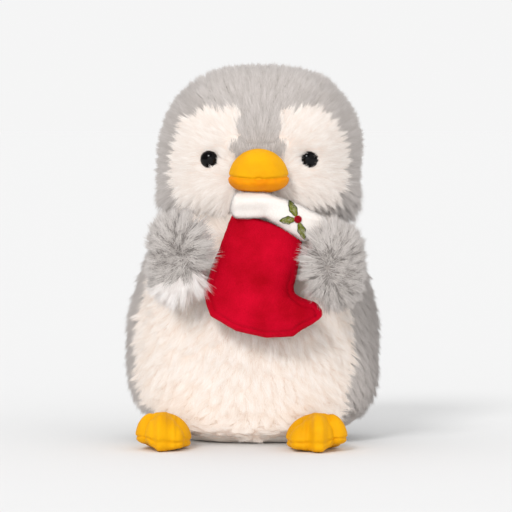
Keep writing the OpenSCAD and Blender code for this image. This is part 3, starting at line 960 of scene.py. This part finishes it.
# %% [markdown]
# ## The head
# Crown, bridge and sides are grey, and the two face patches are cream. All of the head's pile
# is brushed away from the beak: up over the crown, back along the sides and down at the cheeks.
# It is trimmed short round the eyes and the beak, so that they show.

# %% Head skin
HEAD_MIDDLE = Vector((0.003, 0.0195, 0.188))
BEAK_ROOT = Vector((0.003, -0.045, 0.178))
head_panels = Panels("crown_panel", "bridge_panel", "head_side_left", "head_side_right",
                     "face_panel_left", "face_panel_right", "head_stuffing")
head_core = Panels("head_stuffing")
head = bag("head_skin", HEAD_MIDDLE, head_panels, head_core, cuts=24, inset=0.0033,
           slack=0.0012, most=0.003, levels=2)
head_shares = panel_shares(head, head_panels, HEAD_MIDDLE)

# %% Head reshaping, in metres, and its shading
FULLER = 0.0032
HEM_DROP = 0.009
# Patches where a panel's fur takes the place of its neighbour's: x, z, radius and strength.
PATCHES = (("face_panel_right", -0.042, 0.207, 0.010, 1.2),
           ("face_panel_right", -0.014, 0.213, 0.009, 1.5),
           ("face_panel_left", 0.021, 0.212, 0.009, 1.5),
           ("bridge_panel", -0.0125, 0.1960, 0.008, 1.1),
           ("bridge_panel", 0.0180, 0.1960, 0.007, 1.1))

head_points = coordinates(head.data)
x, y, z = head_points.T
fuller = FULLER * ease(x, 0.015, 0.05) * ease(z, 0.175, 0.205)
head_points += normals(head.data) * fuller[:, None]
head_points[:, 2] -= HEM_DROP * (1 - ease(z, 0.160, 0.188)) * ease(y, -0.014, 0.025)
set_coordinates(head.data, head_points)
for name, patch_x, patch_z, radius, strength in PATCHES:
    gap = np.hypot(x - patch_x, z - patch_z)
    head_shares[name] += strength * (1 - ease(gap, 0.4 * radius, radius)) * (y < 0.02)
facing = turned_front(normals(head.data), y, 0.4, (0.7, 0.97))
keep_vector(head.data, "facing", turned_up(facing, 1 - ease(z, 0.160, 0.185), 0.3))


# %% Head brushing and pile length
# How far the brushing droops at the back and at the hem. Then the share of its length that the
# pile keeps at the eyes and at the beak, and the share it loses along the bridge's upper seam.
BACK_DROOP, HEM_DROOP = 0.5, 0.8
EYE_TRIM, BEAK_TRIM, SEAM_TRIM = 0.6, 0.4, 0.45
CREAM_SHORTER = 0.0015


def eye_centre(side):
    """The middle of an eye's CAD box."""
    low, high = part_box("eye_" + side)
    return (low + high) / 2


def far_from(place, low, high):
    """0 nearer than low to a place, 1 further than high."""
    return ease(np.linalg.norm(head_points - np.array(place), axis=1), low, high)


hem = 1 - ease(z, 0.156, 0.176)
bridge = ease(head_shares["bridge_panel"], 0.3, 0.7)[:, None]
head_flow = unit(head_points - np.array(BEAK_ROOT))
head_flow[:, 2] -= BACK_DROOP * ease(y, 0.0, 0.05)
head_flow[:, 2] -= HEM_DROOP * hem
head_flow = (1 - bridge) * head_flow + bridge * np.array((0, -0.3, -1.0))

head_pile = PILE * (1 + (0.5 + 0.5 * ease(y, -0.02, 0.0)) * hem)
cream_share = head_shares["face_panel_left"] + head_shares["face_panel_right"]
head_pile -= CREAM_SHORTER * cream_share
for side in SIDES:
    head_pile *= EYE_TRIM + (1 - EYE_TRIM) * far_from(eye_centre(side), 0.005, 0.013)
beak_base = np.array(BEAK_ROOT) + (0, -0.006, 0)
head_pile *= BEAK_TRIM + (1 - BEAK_TRIM) * far_from(beak_base, 0.016, 0.030)
seam = 4 * np.clip(head_shares["bridge_panel"], 0, 1) * np.clip(head_shares["crown_panel"], 0, 1)
head_pile *= 1 - SEAM_TRIM * np.clip(seam, 0, 1)
brush(head, head_shares, head_flow, head_pile)
paint_by_panel(head, head_shares, {
    "crown_panel": backing_grey, "bridge_panel": backing_grey, "head_side_left": backing_grey,
    "head_side_right": backing_grey, "face_panel_left": backing_cream,
    "face_panel_right": backing_cream})
print("head skin faces:", len(head.data.polygons))

# %% Head pile
SLEEK = dict(stand=0.42, swirl=0.25, tuft=0.35)
head_plan = [("crown_pile", "crown_panel", grey_strands, 240, "grey_fur", SLEEK),
             ("bridge_pile", "bridge_panel", grey_strands, 230, "grey_fur", SLEEK)]
# The sides grow the darker side set, which is painted shade.
for side in SIDES:
    head_plan.append(("head_side_pile_" + side, "head_side_" + side, side_painted_shade_strands, 235,
                      "grey_fur", dict(stand=0.45, swirl=0.3, tuft=0.35)))
    head_plan.append(("face_pile_" + side, "face_panel_" + side, face_strands, 420, "cream_fur",
                      dict(stand=0.75, swirl=0.9, swirl_size=0.012, tuft=0.45)))
head_piles = [(grow(name, head, panel, strands, density, **habit), slot, panel)
              for name, panel, strands, density, slot, habit in head_plan]

# %% [markdown]
# The head nods on the neck, and on a real toy its lower edge is sewn down, so the cloth there
# stays with the neck while the face tips. Each head piece therefore bends between the two
# bodies, from the seam up to just under the beak.

# %% Head pieces join the frame
NECK_SEAM = (0.003, 0.0195, 0.128)
UNDER_BEAK = (0.003, 0.0195, 0.160)
lighten(head)
hang(head, "grey_fur")
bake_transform(head, "neck", "head", NECK_SEAM, UNDER_BEAK)
for piece, slot, node_name in head_piles:
    hang(piece, slot, node_name)
    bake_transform(piece, "neck", "head", NECK_SEAM, UNDER_BEAK)

# %% [markdown]
# ## The eyes
# A plush eye is a moulded black dome on a stem, clicked through the cloth. Its gloss is the only
# hard highlight on the toy, so the dome is turned from a true arc with spin, which is rounder
# than a scaled sphere, and its black is nearly smooth over a faint mottle.

# %% Eye domes
EYE_YAW = math.radians(21)
EYE_RADIUS = 0.0059
EYE_RISE = 0.0044
EYE_SHIFT = {"left": (0.0020, 0.0008, 0), "right": (-0.0010, 0.0004, 0)}
SKIRT = 0.4
eye_black = cloth_shader("eye_black", (3, 3, 4), (9, 8, 9), nap=300, relief=0.02, roughness=0.05,
                         Specular_IOR_Level=0.2)


def dome(radius, rise, steps=14):
    """A solid dome about Z, its base at z = 0, spun from an arc."""
    build = bmesh.new()
    rim = [build.verts.new((out * radius, 0, -SKIRT * rise)) for out in (0, 0.86)]
    for step in range(steps + 1):
        angle = 0.5 * math.pi * step / steps
        rim.append(build.verts.new((radius * math.cos(angle), 0, rise * math.sin(angle))))
    edges = [build.edges.new(pair) for pair in zip(rim, rim[1:])]
    bmesh.ops.spin(build, geom=rim + edges, cent=(0, 0, 0), axis=(0, 0, 1), dvec=(0, 0, 0),
                   angle=2 * math.pi, steps=40, use_merge=True)
    bmesh.ops.remove_doubles(build, verts=build.verts, dist=1e-6)
    bmesh.ops.recalc_face_normals(build, faces=build.faces)
    return build


for side, sign in SIDES.items():
    centre = eye_centre(side) + Vector(EYE_SHIFT[side])
    outward = Vector((sign * math.sin(EYE_YAW), -math.cos(EYE_YAW), 0.05)).normalized()
    build = dome(EYE_RADIUS, EYE_RISE)
    turn = outward.to_track_quat("Z", "Y").to_matrix().to_4x4()
    bmesh.ops.transform(build, verts=build.verts, matrix=Matrix.Translation(centre) @ turn)
    mesh = mesh_of(build, "eye_dome_" + side)
    smooth_shading(mesh)
    mesh.materials.append(eye_black)
    settle(new_object("eye_dome_" + side, mesh), "head", "eye_black", "eye_" + side)
    print("eye", side, [round(1000 * v, 1) for v in centre])

# %% [markdown]
# ## The beak
# The beak is a small stuffed pouch of velboa, a plush shaved so short that only its nap shows.
# An upper and a lower half meet in a stitched mouth seam, which pulls the cloth in.

# %% Beak
MOUTH = 0.173
SMILE = 5.0
SMILE_RISE = 0.0010
WIDER = 1.05
TALLER_TOP, TALLER_BASE = 0.09, 0.15
PINCH_DEPTH, PINCH_WIDTH = 0.0011, 0.0009
BEAK_REAR = -0.036

beak_low, beak_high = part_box("beak_upper")
BEAK_MIDDLE = Vector(((beak_low.x + beak_high.x) / 2, -0.046, 0.175))
beak_panels = Panels("beak_upper", "beak_lower", "beak_stuffing")
beak = bag("beak_cover", BEAK_MIDDLE, beak_panels, Panels("beak_stuffing"), cuts=14, inset=0,
           slack=0.0006, most=0.0012, rounds=1, levels=2)
beak_points = coordinates(beak.data)
x, y, z = beak_points.T
beak_points[:, 0] = BEAK_MIDDLE.x + (x - BEAK_MIDDLE.x) * WIDER
beak_points[:, 2] += TALLER_TOP * np.maximum(z - MOUTH, 0)
beak_points[:, 2] -= TALLER_BASE * np.maximum(MOUTH - z, 0)


def mouth_height(x):
    """The mouth seam: a slight smile."""
    return MOUTH + SMILE_RISE + SMILE * (x - BEAK_MIDDLE.x) ** 2


pinch = np.exp(-((z - mouth_height(x)) / PINCH_WIDTH) ** 2) * (y < BEAK_REAR)
set_coordinates(beak.data, beak_points - normals(beak.data) * (PINCH_DEPTH * pinch)[:, None])
keep_over(beak, "beak_stuffing")
beak.data.materials.append(velboa)
beak.data.materials.append(velboa_deep)
for polygon in beak.data.polygons:
    x, _, z = polygon.center
    polygon.material_index = int(z < mouth_height(x))
settle(beak, "head", "orange_velboa", "beak_upper", "beak_lower")
print("beak faces:", len(beak.data.polygons))

# %% [markdown]
# ## The wings
# A wing is a short mitten that reaches forward round the stocking. Its fur is the longest on the
# toy and is brushed from the tip back to the shoulder, so from the front it looks like a swirl.
# The shoulder end is sewn to the torso: there the cloth stays, and beyond it the wing swings.
# The skin is stretched in to its root on the torso, so its filling takes the new shape too.

# %% Wings
# The tip of each wing, the shoulder where its panels end, and the root on the torso's side.
WING_TIPS = {"left": Vector((0.048, -0.0755, 0.118)), "right": Vector((-0.044, -0.0755, 0.124))}
SHOULDERS = {"left": Vector((0.0705, -0.024, 0.118)), "right": Vector((-0.0705, -0.024, 0.124))}
ROOTS = {"left": Vector((0.058, -0.001, 0.113)), "right": Vector((-0.058, -0.001, 0.119))}
# How far from the shoulder to the root, and to the tip, the cloth bends when the wing swings.
SEWN, FREE = 0.7, 0.35
ROOT_TAPER = 0.2
CURL = 0.35
WING_PILE, INNER_PILE, UPPER_PILE, LOW_PILE = 0.0085, 0.0080, 0.003, 0.006
WING_DENSITY = 470
WING_PUSH = 1.5
SLANT = 0.35
WING_HABIT = dict(stand=0.65, swirl=0.7, tuft=0.45, fuzz=0.2)


def move_wing_seam(side, inner, facing_front, points, tip):
    """Where the pale inner panel ends: behind the rim on the left, and along a slanting line
    at the lower front on the right, where its underside shows."""
    if side == "left":
        inner -= WING_PUSH * ease(facing_front, -0.2, 0.3)
        return
    low_edge = points[:, 2] - SLANT * (points[:, 0] - tip.x)
    inner -= WING_PUSH * ease(low_edge, 0.110, 0.116)
    inner += WING_PUSH * (1 - ease(low_edge, 0.104, 0.110)) * (points[:, 1] < -0.03)


for side, sign in SIDES.items():
    tip, shoulder = WING_TIPS[side], SHOULDERS[side]
    middle = tip.lerp(shoulder, 0.5)
    panels = Panels("wing_outer_" + side, "wing_inner_" + side, "wing_stuffing_" + side)
    wing = bag("wing_skin_" + side, middle, panels, Panels("wing_stuffing_" + side), cuts=14,
               inset=0.0070, slack=0.001, most=0.002)
    shares = panel_shares(wing, panels, middle)
    points = coordinates(wing.data)
    axis = np.array(shoulder - tip)
    along_wing = (points - np.array(tip)) @ axis / (axis @ axis)
    rootward = ease(along_wing, 0.45, 1.0)[:, None]
    spine = np.array(tip) + along_wing[:, None] * axis
    points = spine + (points - spine) * (1 - ROOT_TAPER * rootward)
    points += rootward * np.array(ROOTS[side] - shoulder)
    set_coordinates(wing.data, points)

    flow = unit(points - np.array(tip))
    flow += CURL * np.cross(flow, (0, 1, 0)) * sign
    near_tip = 1 - ease(np.linalg.norm(points - np.array(tip), axis=1), 0.008, 0.026)
    inward = ease((points[:, 0] - tip.x) * -sign, -0.012, 0.010)
    above = points[:, 2] - tip.z
    length = WING_PILE + INNER_PILE * inward + UPPER_PILE * ease(above, 0.0, 0.02)
    length *= 1 - 0.3 * rootward[:, 0]
    if side == "right":
        length += LOW_PILE * ease(-above, 0.006, 0.022)
    move_wing_seam(side, shares["wing_inner_" + side], -normals(wing.data)[:, 1], points, tip)
    brush(wing, shares, flow, length, 1 - 0.75 * near_tip)
    paint_by_panel(wing, shares, {"wing_outer_" + side: backing_grey,
                                  "wing_inner_" + side: backing_pale})
    outer = grow("wing_outer_pile_" + side, wing, "wing_outer_" + side, wing_strands,
                 WING_DENSITY, softness=0.6, **WING_HABIT)
    inner = grow("wing_inner_pile_" + side, wing, "wing_inner_" + side, pale_strands,
                 WING_DENSITY, softness=0.7, **WING_HABIT)
    stuffed = filling_of(wing, "wing_stuffing_" + side)
    hang(wing, "grey_fur")
    hang(outer, "grey_fur", "wing_outer_" + side)
    hang(inner, "pale_fur", "wing_inner_" + side)
    sewn_end = shoulder.lerp(ROOTS[side], SEWN)
    free_end = shoulder.lerp(tip, FREE)
    for piece in (stuffed, wing, outer, inner):
        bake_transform(piece, "torso", "wing_" + side, sewn_end, free_end)

# %% [markdown]
# ## The feet
# Each foot is a velboa pouch with three stuffed toes, and stitches between the toes draw it in.
# The toes aren't alike: the inner one is low and set back, and the outer one is lifted.

# %% Feet
# Three toes, each as: its middle along the foot from the inner side, at -1, to the outer side, at
# 1; its half width; its height as a share of the bag's; how far back it lies, and how far it is
# lifted off the floor, in metres.
TOES = ((-0.62, 0.50, 0.80, 0.005, 0.0010),
        (0.02, 0.46, 1.06, 0.000, 0),
        (0.66, 0.46, 1.10, 0.004, 0.0040))
NOTCH = 0.0085
NOTCH_DIP = 0.22
LEAST_WEIGHT = 0.02
HEEL_STRETCH = 0.012
FOOT_WIDTH = {"left": 1.02, "right": 0.90}
ANKLE_HEIGHT = 0.009

for side, hand in SIDES.items():
    low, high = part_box("foot_top_" + side)
    middle = (low + high) / 2
    middle.z = ANKLE_HEIGHT
    panels = Panels("foot_top_" + side, "foot_sole_" + side, "foot_stuffing_" + side)
    foot = bag("foot_cover_" + side, middle, panels, Panels("foot_stuffing_" + side), cuts=22,
               inset=0.0001, slack=0.0006, most=0.0012, rounds=1)
    points = coordinates(foot.data)
    x, y, z = points.T
    outer = hand * (x - middle.x) / (0.5 * (high.x - low.x))
    front = 1 - ease(y, middle.y - 0.004, middle.y + 0.012)
    round_toes = [np.sqrt(np.clip(1 - ((outer - toe[0]) / toe[1]) ** 2, 0, 1)) for toe in TOES]
    weights = np.array(round_toes) + LEAST_WEIGHT
    weights /= weights.sum(axis=0)
    tall, back, lift = (np.array([toe[k] for toe in TOES]) @ weights for k in (2, 3, 4))
    hollow = 1 - np.max(round_toes, axis=0)
    points[:, 2] *= 1 + front * (tall - NOTCH_DIP * hollow - 1)
    points[:, 2] += front * lift * (1 - ease(z, 0.002, 0.012))
    points[:, 1] += front * (back + NOTCH * hollow)
    points[:, 1] += HEEL_STRETCH * ease(y, middle.y, high.y)
    points[:, 0] = middle.x + (x - middle.x) * FOOT_WIDTH[side]
    set_coordinates(foot.data, points)
    smooth_piece(foot, 4)
    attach(filling_of(foot, "foot_stuffing_" + side), "foot_" + side)
    foot.data.materials.append(velboa)
    settle(foot, "foot_" + side, "orange_velboa", "foot_top_" + side, "foot_sole_" + side)
    print("foot", side, "faces:", len(foot.data.polygons))

# %% [markdown]
# ## The stocking and its cuff
# The stocking is two flat panels sewn round the edge and lightly stuffed, and it is too thin for
# a ball to fall on evenly. So it takes the other way: a copy of its solids is remeshed in small
# cubes, which closes the seams, its largest shell is kept, and smoothing takes the steps out.

# %% A pouch from remeshed solids
POUCH_ROUNDS = 4
POUCH_INSET = 0.0004


def pouch(name, nodes, voxel, most):
    """A closed, filled cover over flat solids, remeshed in cubes of that size."""
    build = bmesh.new()
    for node_name in nodes:
        build.from_mesh(cad_nodes[node_name].data)
    bmesh.ops.remove_doubles(build, verts=build.verts, dist=1e-6)
    piece = new_object(name, mesh_of(build, name))
    cubes = piece.modifiers.new("cubes", "REMESH")
    cubes.mode = "VOXEL"
    cubes.voxel_size = voxel
    mesh = make_final(piece)
    build = bmesh.new()
    build.from_mesh(mesh)
    keep_largest_shell(build)
    smooth(build, POUCH_ROUNDS)
    build.normal_update()
    for vert in build.verts:
        vert.co -= vert.normal * POUCH_INSET
    build.to_mesh(mesh)
    build.free()
    fill_with_air(piece, most)
    subdivide(piece)
    smooth_shading(piece.data)
    return piece


def keep_largest_shell(build):
    """Deletes every shell but the one with the largest spread."""
    waiting, shells = set(build.verts), []
    while waiting:
        front = [waiting.pop()]
        shell = list(front)
        while front:
            for edge in front.pop().link_edges:
                for vert in edge.verts:
                    if vert in waiting:
                        waiting.discard(vert)
                        front.append(vert)
                        shell.append(vert)
        shells.append(shell)
    shells.sort(key=lambda s: max(v.co.z for v in s) - min(v.co.z for v in s))
    for shell in shells[:-1]:
        bmesh.ops.delete(build, geom=shell, context="VERTS")


# %% Stocking
TOP_RISE = 0.004
TOE_SHIFT = (0.0025, 0.0030)
RUCK_DEPTH = 0.0016
RUCK_WAVES = (60, 170)

stocking = pouch("stocking_cover", ("stocking_front", "stocking_back", "stocking_stuffing"),
                 voxel=0.0022, most=0.0015)
stocking_points = coordinates(stocking.data)
x, y, z = stocking_points.T
stocking_points[:, 2] += TOP_RISE * ease(z, 0.132, 0.147)
toe = ease(x, 0.016, 0.040) * (1 - ease(z, 0.100, 0.118))
stocking_points[:, 0] += TOE_SHIFT[0] * toe
stocking_points[:, 2] += TOE_SHIFT[1] * toe
ruck = np.sin(RUCK_WAVES[1] * z + RUCK_WAVES[0] * x)
stocking_points[:, 1] -= RUCK_DEPTH * ruck * ease(z, 0.118, 0.142)
set_coordinates(stocking.data, stocking_points)
keep_over(stocking, "stocking_stuffing")

# %% The stocking's edge seam
# The rim is where the cover faces sideways. The seam lies a little way in from it.
RIM_FACING = 0.35
SEAM_INSET, SEAM_WIDTH, SEAM_DEPTH = 0.0032, 0.0008, 0.0010

stocking_normals = normals(stocking.data)
stocking_points = coordinates(stocking.data)
flat = [Vector((p[0], 0, p[2])) for p in stocking_points]
rim = [place for place, n in zip(flat, stocking_normals) if abs(n[1]) < RIM_FACING]
rim_tree = KDTree(len(rim))
for number, place in enumerate(rim):
    rim_tree.insert(place, number)
rim_tree.balance()
to_rim = np.array([rim_tree.find(place)[2] for place in flat])
seam = np.exp(-((to_rim - SEAM_INSET) / SEAM_WIDTH) ** 2)
seam *= 1 - ease(stocking_points[:, 2], 0.10, 0.125)
set_coordinates(stocking.data, stocking_points - stocking_normals * (SEAM_DEPTH * seam)[:, None])
keep_over(stocking, "stocking_stuffing")
print("rim points:", len(rim))
stocking.data.materials.append(velour)
settle(stocking, "torso", "red_velour", "stocking_front", "stocking_back")
print("stocking faces:", len(stocking.data.polygons))

# %% Cuff
# The cuff's solid is a plain band. Its cloth is cut deeper towards the toe side, so these are
# the x and z of its upper and lower pattern lines, in metres.
CUFF_TOP = ((-0.016, 0.158), (-0.012, 0.1655), (0.006, 0.1655), (0.030, 0.158), (0.050, 0.149))
CUFF_HEM = ((-0.016, 0.151), (-0.012, 0.1488), (0.007, 0.1492), (0.032, 0.1340), (0.050, 0.139))
CUFF_SLICES = 20
CUFF_PILE = 0.0018
CUFF_RUCK = 0.0009


def recut_cuff(piece):
    """Stretches the band between its pattern lines, and rucks it at its shorter end."""
    points = coordinates(piece.data)
    x, z = points[:, 0], points[:, 2]
    middles = np.linspace(x.min() + 0.001, x.max() - 0.001, CUFF_SLICES)
    near = [z[np.abs(x - m) < 0.0025] for m in middles]
    top = np.interp(x, middles, [n.max() for n in near])
    hem = np.interp(x, middles, [n.min() for n in near])
    share = np.clip((z - hem) / np.maximum(top - hem, 1e-4), 0, 1)
    new_top, new_hem = (np.interp(x, *zip(*line)) for line in (CUFF_TOP, CUFF_HEM))
    points[:, 2] = new_hem + share * (new_top - new_hem)
    points[:, 1] -= CUFF_RUCK * np.sin(520 * z - 30 * x) * (1 - ease(x, 0.0, 0.03))
    set_coordinates(piece.data, points)
    smooth_piece(piece, 3)


cuff = pouch("cuff_cover", ("stocking_cuff",), voxel=0.0016, most=0.0012)
recut_cuff(cuff)
cuff.data.materials.append(cuff_cloth)
cuff_size = len(cuff.data.vertices)
brush(cuff, {"stocking_cuff": np.ones(cuff_size)}, np.tile((0.2, -0.3, -1.0), (cuff_size, 1)),
      np.full(cuff_size, CUFF_PILE))
cuff_pile = grow("cuff_pile", cuff, "stocking_cuff", cuff_strands, 330, stand=0.9, swirl=0.8,
                 tuft=0.2, tuft_size=0.003, fuzz=0.3)
settle(cuff, "torso", "cuff_plush", "stocking_cuff")
settle(cuff_pile, "torso", "cuff_plush")

# %% [markdown]
# ## Parts inside, and the label
# The filling, the pellet bag and the washers are real parts that the covers hide. They keep
# their CAD shapes, and each gets the finish of what it is made of.

# %% Finishes for the parts that stay
def finish_node(name, finish):
    """Gives a CAD node one finish."""
    mesh = cad_nodes[name].data
    mesh.materials.clear()
    mesh.materials.append(finish)


for name in ("body_stuffing", "head_stuffing", "beak_stuffing", "stocking_stuffing", "neck_wad"):
    finish_node(name, filling)
finish_node("pellet_bag", bag_cloth)
finish_node("pellets", pellet_plastic)
finish_node("care_label", ribbon)
finish_node("eye_washer_left", hard_plastic)
finish_node("eye_washer_right", hard_plastic)

# %% [markdown]
# ## The holly
# The sprig is embroidered, not printed: satin stitch lays threads side by side from a leaf's
# midrib to its edge, and a darker thread outlines it. Each thread is one short rounded bar here,
# laid on the cuff, because a bump could not give the sprig its raised edge.

# %% Thread finishes
SATIN = dict(nap=900, grain=3000, roughness=0.6, Specular_IOR_Level=0.1)
THREAD = 0.00030
SPRIG = Vector((0.028, 0, 0.1485))
LEAF_TIPS = ((0.0225, 0.1605), (0.0165, 0.1475), (0.0325, 0.1355))
LEAF_HALF = 0.0023
STITCHES = 15
BERRY = 0.0024
CUFF_FRONT = -0.056
# How far the threads stand off the cuff: at the midrib, at the leaf's edge and on its outline.
RIB_LIFT, EDGE_LIFT, RIM_LIFT = 0.0005, 0.0003, 0.00045
BERRY_LIFTS = (0.0004, 0.0009)

leaf_thread = cloth_shader("leaf_thread", (84, 98, 22), (144, 146, 58), **SATIN)
edge_thread = cloth_shader("leaf_edge_thread", (26, 38, 8), (48, 62, 16), **SATIN)
berry_thread = cloth_shader("berry_thread", (128, 0, 16), (164, 2, 28), **SATIN)
cuff_tree = BVHTree.FromPolygons([v.co.copy() for v in cuff.data.vertices],
                                 [list(p.vertices) for p in cuff.data.polygons])


# %% How a thread is laid
def on_cuff(x, z, lift):
    """The point on the cuff's front at x, z, lifted towards the viewer."""
    place, _, _, _ = cuff_tree.ray_cast(Vector((x, -0.2, z)), Vector((0, 1, 0)), 0.4)
    return Vector((x, (place.y if place else CUFF_FRONT) - lift, z))


def lay_thread(build, start, end, radius, finish):
    """One thread from start to end: a six-sided bar with tapered ends."""
    along_thread = end - start
    made = bmesh.ops.create_uvsphere(build, u_segments=6, v_segments=5, radius=1)["verts"]
    bmesh.ops.scale(build, verts=made, vec=(radius, radius, along_thread.length / 2 + radius))
    turn = along_thread.to_track_quat("Z", "Y").to_matrix().to_4x4()
    bmesh.ops.transform(build, verts=made,
                        matrix=Matrix.Translation((start + end) / 2) @ turn)
    for face in {f for v in made for f in v.link_faces}:
        face.material_index = finish
        face.smooth = True


def leaf_half(share):
    """A leaf's half width along its length, from 0 at the stem to 1 at the tip."""
    prickles = 1 + 0.12 * math.sin(6 * math.pi * share)
    return LEAF_HALF * math.sin(math.pi * share ** 0.8) * prickles


def embroidery(build, name, node_name, slot, *finishes):
    """The threads laid so far, as one piece on the torso."""
    mesh = mesh_of(build, name)
    for finish in finishes:
        mesh.materials.append(finish)
    settle(new_object(name, mesh), "torso", slot, node_name)


# %% Leaves
build = bmesh.new()
for tip_x, tip_z in LEAF_TIPS:
    tip = Vector((tip_x, 0, tip_z))
    stem = SPRIG.lerp(tip, 0.12)
    axis = tip - stem
    across = Vector((axis.z, 0, -axis.x)).normalized()
    for hand in (-1, 1):
        rim = []
        for stitch in range(STITCHES):
            share = (stitch + 0.5) / STITCHES
            rib = stem + axis * max(share - 0.06, 0)
            edge = stem + axis * min(share + 0.05, 1) + across * hand * leaf_half(share)
            rim.append(edge)
            lay_thread(build, on_cuff(rib.x, rib.z, RIB_LIFT), on_cuff(edge.x, edge.z, EDGE_LIFT),
                       THREAD * 1.25, 0)
        rim = [stem] + rim + [tip]
        for first, second in zip(rim, rim[1:]):
            lay_thread(build, on_cuff(first.x, first.z, RIM_LIFT),
                       on_cuff(second.x, second.z, RIM_LIFT), THREAD, 1)
embroidery(build, "holly_leaf_stitches", "holly_leaves", "leaf_thread", leaf_thread, edge_thread)
print("leaf stitches:", 2 * len(LEAF_TIPS) * STITCHES)

# %% Berry
build = bmesh.new()
for layer, lift in enumerate(BERRY_LIFTS):
    for stitch in range(-4, 5):
        offset = stitch / 4.6 * BERRY
        half = math.sqrt(BERRY ** 2 - offset ** 2)
        ends = [on_cuff(SPRIG.x + (offset if layer else end),
                        SPRIG.z + (end if layer else offset), lift) for end in (-half, half)]
        lay_thread(build, *ends, THREAD * 1.2, 0)
embroidery(build, "holly_berry_stitches", "holly_berry", "berry_thread", berry_thread)

# %% [markdown]
# ## Last step
# The strand shapes were only patterns, so they go.

# %% Finish
for collection in strand_sets:
    for pattern in list(collection.objects):
        bpy.data.objects.remove(pattern)
    bpy.data.collections.remove(collection)
for tree in list(bpy.data.node_groups):
    bpy.data.node_groups.remove(tree)
